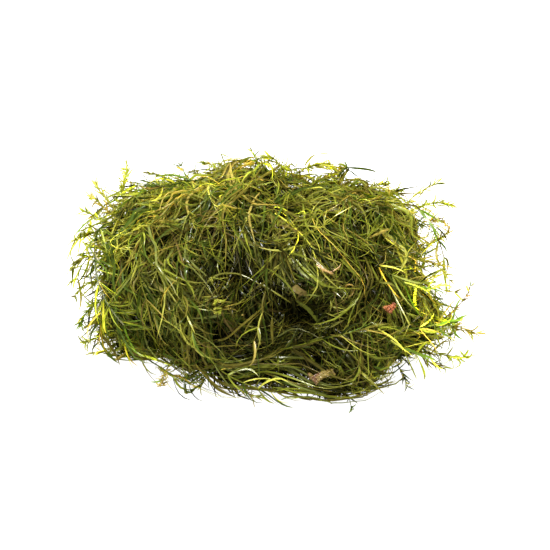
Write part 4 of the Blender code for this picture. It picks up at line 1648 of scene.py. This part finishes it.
def makeScrapGroup():  # colour, roughness and relief of a dead scrap
    spec = scrapFinish
    inputs = {**dict.fromkeys(scrapColours, "Color"), "Stripe": "Float"}
    group, inside, outside, mottle, grain, along, across = startGroup(
        "scrapSurface", inputs, surfaceOutputs, spec)
    patch = mathNode(group, "MULTIPLY_ADD", mottle, *spec["patches"], clamp=True)
    base = mixColours(group, patch, inside["First"], inside["Second"])
    byMottle, acrossSheet = spec["wavy"]
    wavy = mathNode(group, "MULTIPLY_ADD", mottle, byMottle, mathNode(group, "MULTIPLY", across, acrossSheet))
    stripes = mathNode(group, "MULTIPLY_ADD", mathNode(group, "SINE", wavy), 0.5, 0.5)
    dark = mathNode(group, "MULTIPLY", stripes, inside["Stripe"])
    striped = mixColours(group, dark, base, spec["stripeColour"])
    slope, start, share = spec["firstEnd"]
    first = mathNode(group, "MULTIPLY_ADD", along, slope, start, clamp=True)
    ended = mixColours(group, mathNode(group, "MULTIPLY", first, share), striped, inside["End"])
    slope, start, share = spec["specks"]
    specks = mathNode(group, "MULTIPLY_ADD", grain, slope, start, clamp=True)
    specked = mixColours(group, mathNode(group, "MULTIPLY", specks, share), ended, inside["Speck"])
    group.links.new(specked, outside["Colour"])
    group.links.new(mathNode(group, "MULTIPLY_ADD", mottle, *spec["dull"]), outside["Roughness"])
    ofGrain, ofStripes = spec["relief"]
    rough = mathNode(group, "MULTIPLY_ADD", grain, ofGrain, mottle)
    height = mathNode(group, "ADD", rough, mathNode(group, "MULTIPLY", dark, ofStripes))
    group.links.new(height, outside["Height"])
    return group


scrapGroup = makeScrapGroup()


def makeScrapMaterial(name, spec):
    material, shader, surface = makeWetMaterial(name, scrapGroup, scrapFinish["bump"])
    for socket, key in (*scrapColours.items(), ("Stripe", "stripe")):
        surface.inputs[socket].default_value = spec[key]
    shader.inputs["Coat Weight"].default_value = scrapFinish["coat"]
    return material


def sheetOutline(outline):  # its middle, and how far its edge is in each direction
    corners = np.array(outline, float)
    middle = corners.mean(axis=0)
    share = np.linspace(0, len(corners), scrapSheet["outlineSteps"] * len(corners), endpoint=False)
    index = share.astype(int)
    side = np.roll(corners, -1, axis=0)[index] - corners[index]
    edge = corners[index] + side * (share - index)[:, None] - middle
    angles, reach = np.arctan2(edge[:, 1], edge[:, 0]), np.hypot(edge[:, 0], edge[:, 1])
    order = np.argsort(angles)
    return middle, angles[order], reach[order]


def addSheet(bm, layers, outline, bulge, crumple, thickness, height):
    middle, angles, reach = sheetOutline(outline)
    rightWay, upWay, back = viewAxes()
    centre = atPixel(middle[None], np.array([height]))[0]
    normal = unitOf(back + scrapSheet["tilt"] * normalAt(unitOf(centre - heap["middle"])))
    acrossWay = rightWay - back * (rightWay @ normal) / (back @ normal)
    upright = upWay - back * (upWay @ normal) / (back @ normal)
    pixel = view["frameWidth"] / view["pixels"]
    segments = scrapSheet["segments"]
    edges, (a, b, c, d) = scrapSheet["ragged"], scrapSheet["crumples"]
    made = bmesh.ops.create_grid(bm, x_segments=segments, y_segments=segments, size=1)
    for vert in made["verts"]:
        u, v = vert.co.x, vert.co.y
        x, y = u * math.sqrt(1 - v * v / 2), v * math.sqrt(1 - u * u / 2)
        out, angle = min(math.hypot(x, y), 1), math.atan2(y, x)
        ragged = 1 + sum(size * math.sin(angle * waves + phase) * out for size, waves, phase in edges)
        far = np.interp(angle, angles, reach, period=2 * math.pi) * out * ragged
        dx, dy = math.cos(angle) * far, math.sin(angle) * far
        wave = math.sin(dx * a + 1) * math.sin(dy * b + 2) + 0.5 * math.sin(dx * c + dy * d)
        lift = bulge * (1 - out * out) + crumple * wave
        vert.co = centre + (acrossWay * dx - upright * dy) * pixel + normal * lift
        vert[layers["along"]] = 0.5 + 0.5 * x
        vert[layers["across"]] = y
    faces = list(dict.fromkeys(face for vert in made["verts"] for face in vert.link_faces))
    grown = bmesh.ops.extrude_face_region(bm, geom=faces, use_keep_orig=True)["geom"]
    underside = [part for part in grown if isinstance(part, bmesh.types.BMVert)]
    bmesh.ops.translate(bm, verts=underside, vec=Vector(-normal * thickness))


def makeScrap(name):
    spec = scraps[name]
    bm = bmesh.new()
    layers = {key: bm.verts.layers.float.new(key) for key in ("along", "across")}
    for outline, bulge, crumple, thickness in spec["sheets"]:
        addSheet(bm, layers, outline, bulge, crumple, thickness, spec["height"])
    bmesh.ops.recalc_face_normals(bm, faces=bm.faces[:])
    mesh = bpy.data.meshes.new(f"fine_{name}")
    bm.to_mesh(mesh)
    bm.free()
    mesh.shade_smooth()
    mesh.set_sharp_from_angle(angle=scrapSheet["sharpAngle"])
    mesh.materials.append(makeScrapMaterial(name, spec))
    piece = addObject(mesh.name, mesh)
    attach(piece, "root")
    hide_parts(name)
    print(mesh.name, "made")


for name in scraps:
    makeScrap(name)


def makeTwig():
    form = forms["twig"]
    stems = []
    steps = np.linspace(0, 1, form["rings"] + 1)
    for halfWidths, pixels in twig["parts"]:
        points, _, ups = seenLine(form, pixels, twig["height"])
        (large, slow), (small, fast) = twig["knots"]
        knots = 1 + large * np.sin(steps * slow + len(stems)) + small * np.sin(steps * fast)
        widths = np.interp(steps, np.linspace(0, 1, len(halfWidths)), halfWidths) * knots / 1000
        line = (part[:, None] for part in (points, ups, widths, widths * twig["flat"]))
        stems.append(sweep(form, *line, np.zeros(1)))
    verts = np.concatenate(stems)
    parts = [(form, verts, np.ones((len(verts), 3)))]
    piece = joinPieces("fine_twig", parts, makeScrapMaterial("twig", twig))
    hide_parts("forked_twig")


makeTwig()

# Small sprigs that stand out at the edge, placed one by one in the picture

edgeSprigs = (  # colour, brightness, leaf length in mm, gap between whorls in mm, pixels of the stem
    ("lime", 0.9, 8, 2.6, ((120, 216), (108, 201), (97, 187))),
    ("straw", 0.9, 7, 2.8, ((122, 222), (104, 207), (91, 196))),
    ("fresh", 1.1, 7, 3.0, ((127, 206), (122, 192), (126, 176), (127, 166))),
    ("fresh", 1.2, 7, 2.8, ((114, 226), (98, 217), (84, 212))),
    ("lime", 0.8, 6, 3.0, ((132, 212), (134, 199), (131, 188))),
    ("fresh", 1.2, 5, 3.0, ((180, 188), (165, 177), (150, 173))),
    ("green", 1.4, 5, 2.6, ((190, 180), (184, 172), (181, 166))),
    ("fresh", 1.2, 6, 2.6, ((222, 174), (214, 166), (205, 163))),
    ("green", 1.6, 6, 2.4, ((262, 170), (256, 160), (252, 151))),
    ("fresh", 1.0, 7, 3.0, ((284, 170), (275, 160), (266, 156))),
    ("lime", 0.9, 8, 3.2, ((300, 170), (318, 165), (333, 166))),
    ("olive", 1.3, 5, 2.8, ((325, 178), (336, 173), (342, 168))),
    ("fresh", 1.0, 6, 3.0, ((360, 192), (374, 186), (387, 184))),
    ("lime", 1.0, 8, 3.0, ((403, 208), (414, 196), (427, 188), (437, 184))),
    ("fresh", 1.2, 8, 2.8, ((404, 214), (421, 206), (436, 203), (450, 204))),
    ("straw", 0.9, 5, 3.2, ((424, 222), (437, 220), (447, 225))),
    ("olive", 1.4, 5, 3.2, ((426, 246), (438, 240), (448, 232))),
    ("lime", 0.8, 6, 3.0, ((430, 262), (440, 268), (450, 280))),
    ("fresh", 1.1, 6, 3.0, ((432, 285), (443, 290), (455, 292))),
    ("brown", 1.4, 6, 4.0, ((440, 322), (456, 308), (466, 296), (471, 286))),
    ("olive", 1.7, 8, 3.4, ((424, 314), (443, 324), (460, 328), (477, 333))),
    ("lime", 0.9, 7, 3.0, ((420, 330), (432, 338), (447, 336))),
    ("fresh", 1.1, 8, 3.2, ((420, 345), (440, 354), (456, 357), (467, 358))),
    ("olive", 1.5, 7, 3.0, ((418, 352), (430, 362), (444, 367))),
    ("deep", 2.2, 7, 4.0, ((398, 366), (404, 376), (407, 387))),
    ("green", 1.1, 7, 4.0, ((342, 396), (348, 404), (351, 410))),
    ("fresh", 1.0, 6, 2.8, ((104, 234), (88, 234), (74, 241))),
    ("lime", 0.8, 6, 3.0, ((98, 256), (84, 258), (73, 268))),
    ("fresh", 1.1, 6, 2.8, ((98, 280), (84, 286), (75, 296))),
    ("green", 1.4, 7, 2.8, ((100, 300), (88, 310), (81, 324))),
    ("fresh", 1.2, 7, 3.0, ((110, 328), (97, 338), (84, 342))),
    ("lime", 0.9, 7, 3.0, ((118, 342), (106, 354), (95, 362))),
    ("fresh", 1.1, 7, 3.0, ((140, 348), (127, 360), (115, 366))),
    ("straw", 0.8, 5, 4.0, ((172, 362), (165, 372), (160, 385))),
    ("green", 1.1, 9, 2.6, ((206, 372), (194, 377), (181, 382))),
    ("green", 1.3, 8, 2.8, ((207, 376), (199, 386), (189, 392))),
    ("olive", 1.4, 7, 3.0, ((232, 384), (244, 392), (256, 396))),
)
edgeSpec = {
    "around": (-180, 180),
    "opening": (12, 55),
    "sideBend": 45,
    "roll": 60,
    "twist": 50,
    "halfWidth": (0.00028, 0.00060),
    "fold": (0.1, 0.5),
    "reach": (0.030, 0.040),
    "reachPower": 1,
    "sideReach": 0,
    "topSettling": 0,
    "floorGap": 0.0008,
    "seed": 1200,
    "heights": (0.002, 0.012),  # of a stem's root and tip over the tangle
    "stemGap": 0.0012,  # over the floor
    "stemWidths": (0.00034, 0.00016),
    "leastWhorls": 3,
    "whorlShares": (0.15, 0.98),
    "leaves": 4,
    "lengthShares": (0.0006, 0.0012),  # of the table's mm, in metres
    "kinds": (0.00, 0.14, 0.34, 0.22, 0.12, 0.04, 0.08, 0.06),
    "strange": 0.4,  # share of leaves with another colour than their stem's
    # painted light: the edge sprigs are made as bright as a fringe lit from behind
    "brightness": 1.6,
    "leafBrightness": 0.3,
}


def makeEdgeSprigs():
    base, stemForm, form = edgeSpec, forms["cord"], forms["fine"]
    stems, stemTints, leaves, leafTints = [], [], [], []
    for number, (colour, brightness, leafLength, gap, pixels) in enumerate(edgeSprigs):
        draw = np.random.default_rng(base["seed"] + number)
        heights = np.linspace(*base["heights"], len(pixels))
        points, tangents, ups = seenLine(stemForm, pixels, heights, base["stemGap"])
        width = np.linspace(*base["stemWidths"], len(points))[:, None]
        stems.append(sweep(stemForm, points[:, None], ups[:, None], width, width, np.zeros(1)))
        # the stem tint carries the painted light of edgeSpec's brightness
        tint = paletteRows[list(palette).index(colour)] * brightness * base["brightness"]
        stemTints.append(tint)
        long = np.linalg.norm(np.diff(points, axis=0), axis=1).sum()
        whorls = max(int(long / gap * 1000), base["leastWhorls"])
        place = np.repeat(np.linspace(*base["whorlShares"], whorls), base["leaves"]) * (len(points) - 1)
        index = np.minimum(place.astype(int), len(points) - 2)
        roots = points[index] + (points[index + 1] - points[index]) * (place - index)[:, None]
        count = len(roots)
        spec = {**base, "leafLength": [leafLength * share for share in base["lengthShares"]]}
        leaves.append(growLeaves(draw, form, roots, tangents[index], ups[index], spec))
        strange = paletteRows[drawKinds(draw, base["kinds"], count)] * base["brightness"]
        own = np.where(draw.uniform(0, 1, (count, 1)) < base["strange"], strange, tint)
        leafTints.append(own * draw.lognormal(0, base["leafBrightness"], (count, 1)))
    parts = [(stemForm, np.concatenate(stems), np.array(stemTints)),
             (form, np.concatenate(leaves), np.concatenate(leafTints))]
    made = joinPieces("edge_sprigs", parts)


makeEdgeSprigs()

# Floor and light

floorLook = {"halfWidth": 2.5, "grey": 0.25, "roughness": 0.9, "glow": 0.75}

lights = {  # place, size, power, and whether it glints in the wet leaves
    "key": ((-0.20, -0.40, 1.25), 0.30, 20, True),
    "fillRight": ((0.9, -0.8, 0.45), 0.7, 2, False),
    "fillLeft": ((-0.9, -0.8, 0.45), 0.7, 2, False),
    "back": ((0.0, 1.0, 0.5), 0.7, 20, False),
    "backLeft": ((-1.0, 0.5, 0.35), 0.5, 17, False),
    "backRight": ((1.0, 0.5, 0.35), 0.5, 17, False),
}

sky = {"strength": 0.80, "look": "Medium High Contrast", "exposure": 0.22}


def addFloor():
    bm = bmesh.new()
    bmesh.ops.create_grid(bm, x_segments=1, y_segments=1, size=floorLook["halfWidth"])
    mesh = bpy.data.meshes.new("floor")
    bm.to_mesh(mesh)
    bm.free()
    material = bpy.data.materials.new("floor")
    material.use_nodes = True
    shader = material.node_tree.nodes["Principled BSDF"]
    shader.inputs["Base Color"].default_value = (*[floorLook["grey"]] * 3, 1)
    shader.inputs["Roughness"].default_value = floorLook["roughness"]
    shader.inputs["Specular IOR Level"].default_value = 0
    shader.inputs["Emission Color"].default_value = (1, 1, 1, 1)
    shader.inputs["Emission Strength"].default_value = floorLook["glow"]
    mesh.materials.append(material)
    floor = addObject("floor", mesh)
    floor.visible_glossy = False


def addLight(name, place, size, power, glossy):
    data = bpy.data.lights.new(name, "AREA")
    data.size = size
    data.energy = power
    light = addObject(name, data)
    light.location = place
    direction = Vector(heap["middle"]) - Vector(place)
    light.rotation_euler = direction.to_track_quat("-Z", "Y").to_euler()
    light.visible_glossy = glossy


def addSky():
    world = bpy.data.worlds.new("world")
    world.use_nodes = True
    background = world.node_tree.nodes["Background"]
    background.inputs["Color"].default_value = (1, 1, 1, 1)
    background.inputs["Strength"].default_value = sky["strength"]
    world.cycles_visibility.glossy = False
    bpy.context.scene.world = world
    settings = bpy.context.scene.view_settings
    settings.view_transform = "Standard"
    settings.look = sky["look"]
    settings.exposure = sky["exposure"]


addFloor()
for name, light in lights.items():
    addLight(name, *light)
addSky()
print("floor and light made")
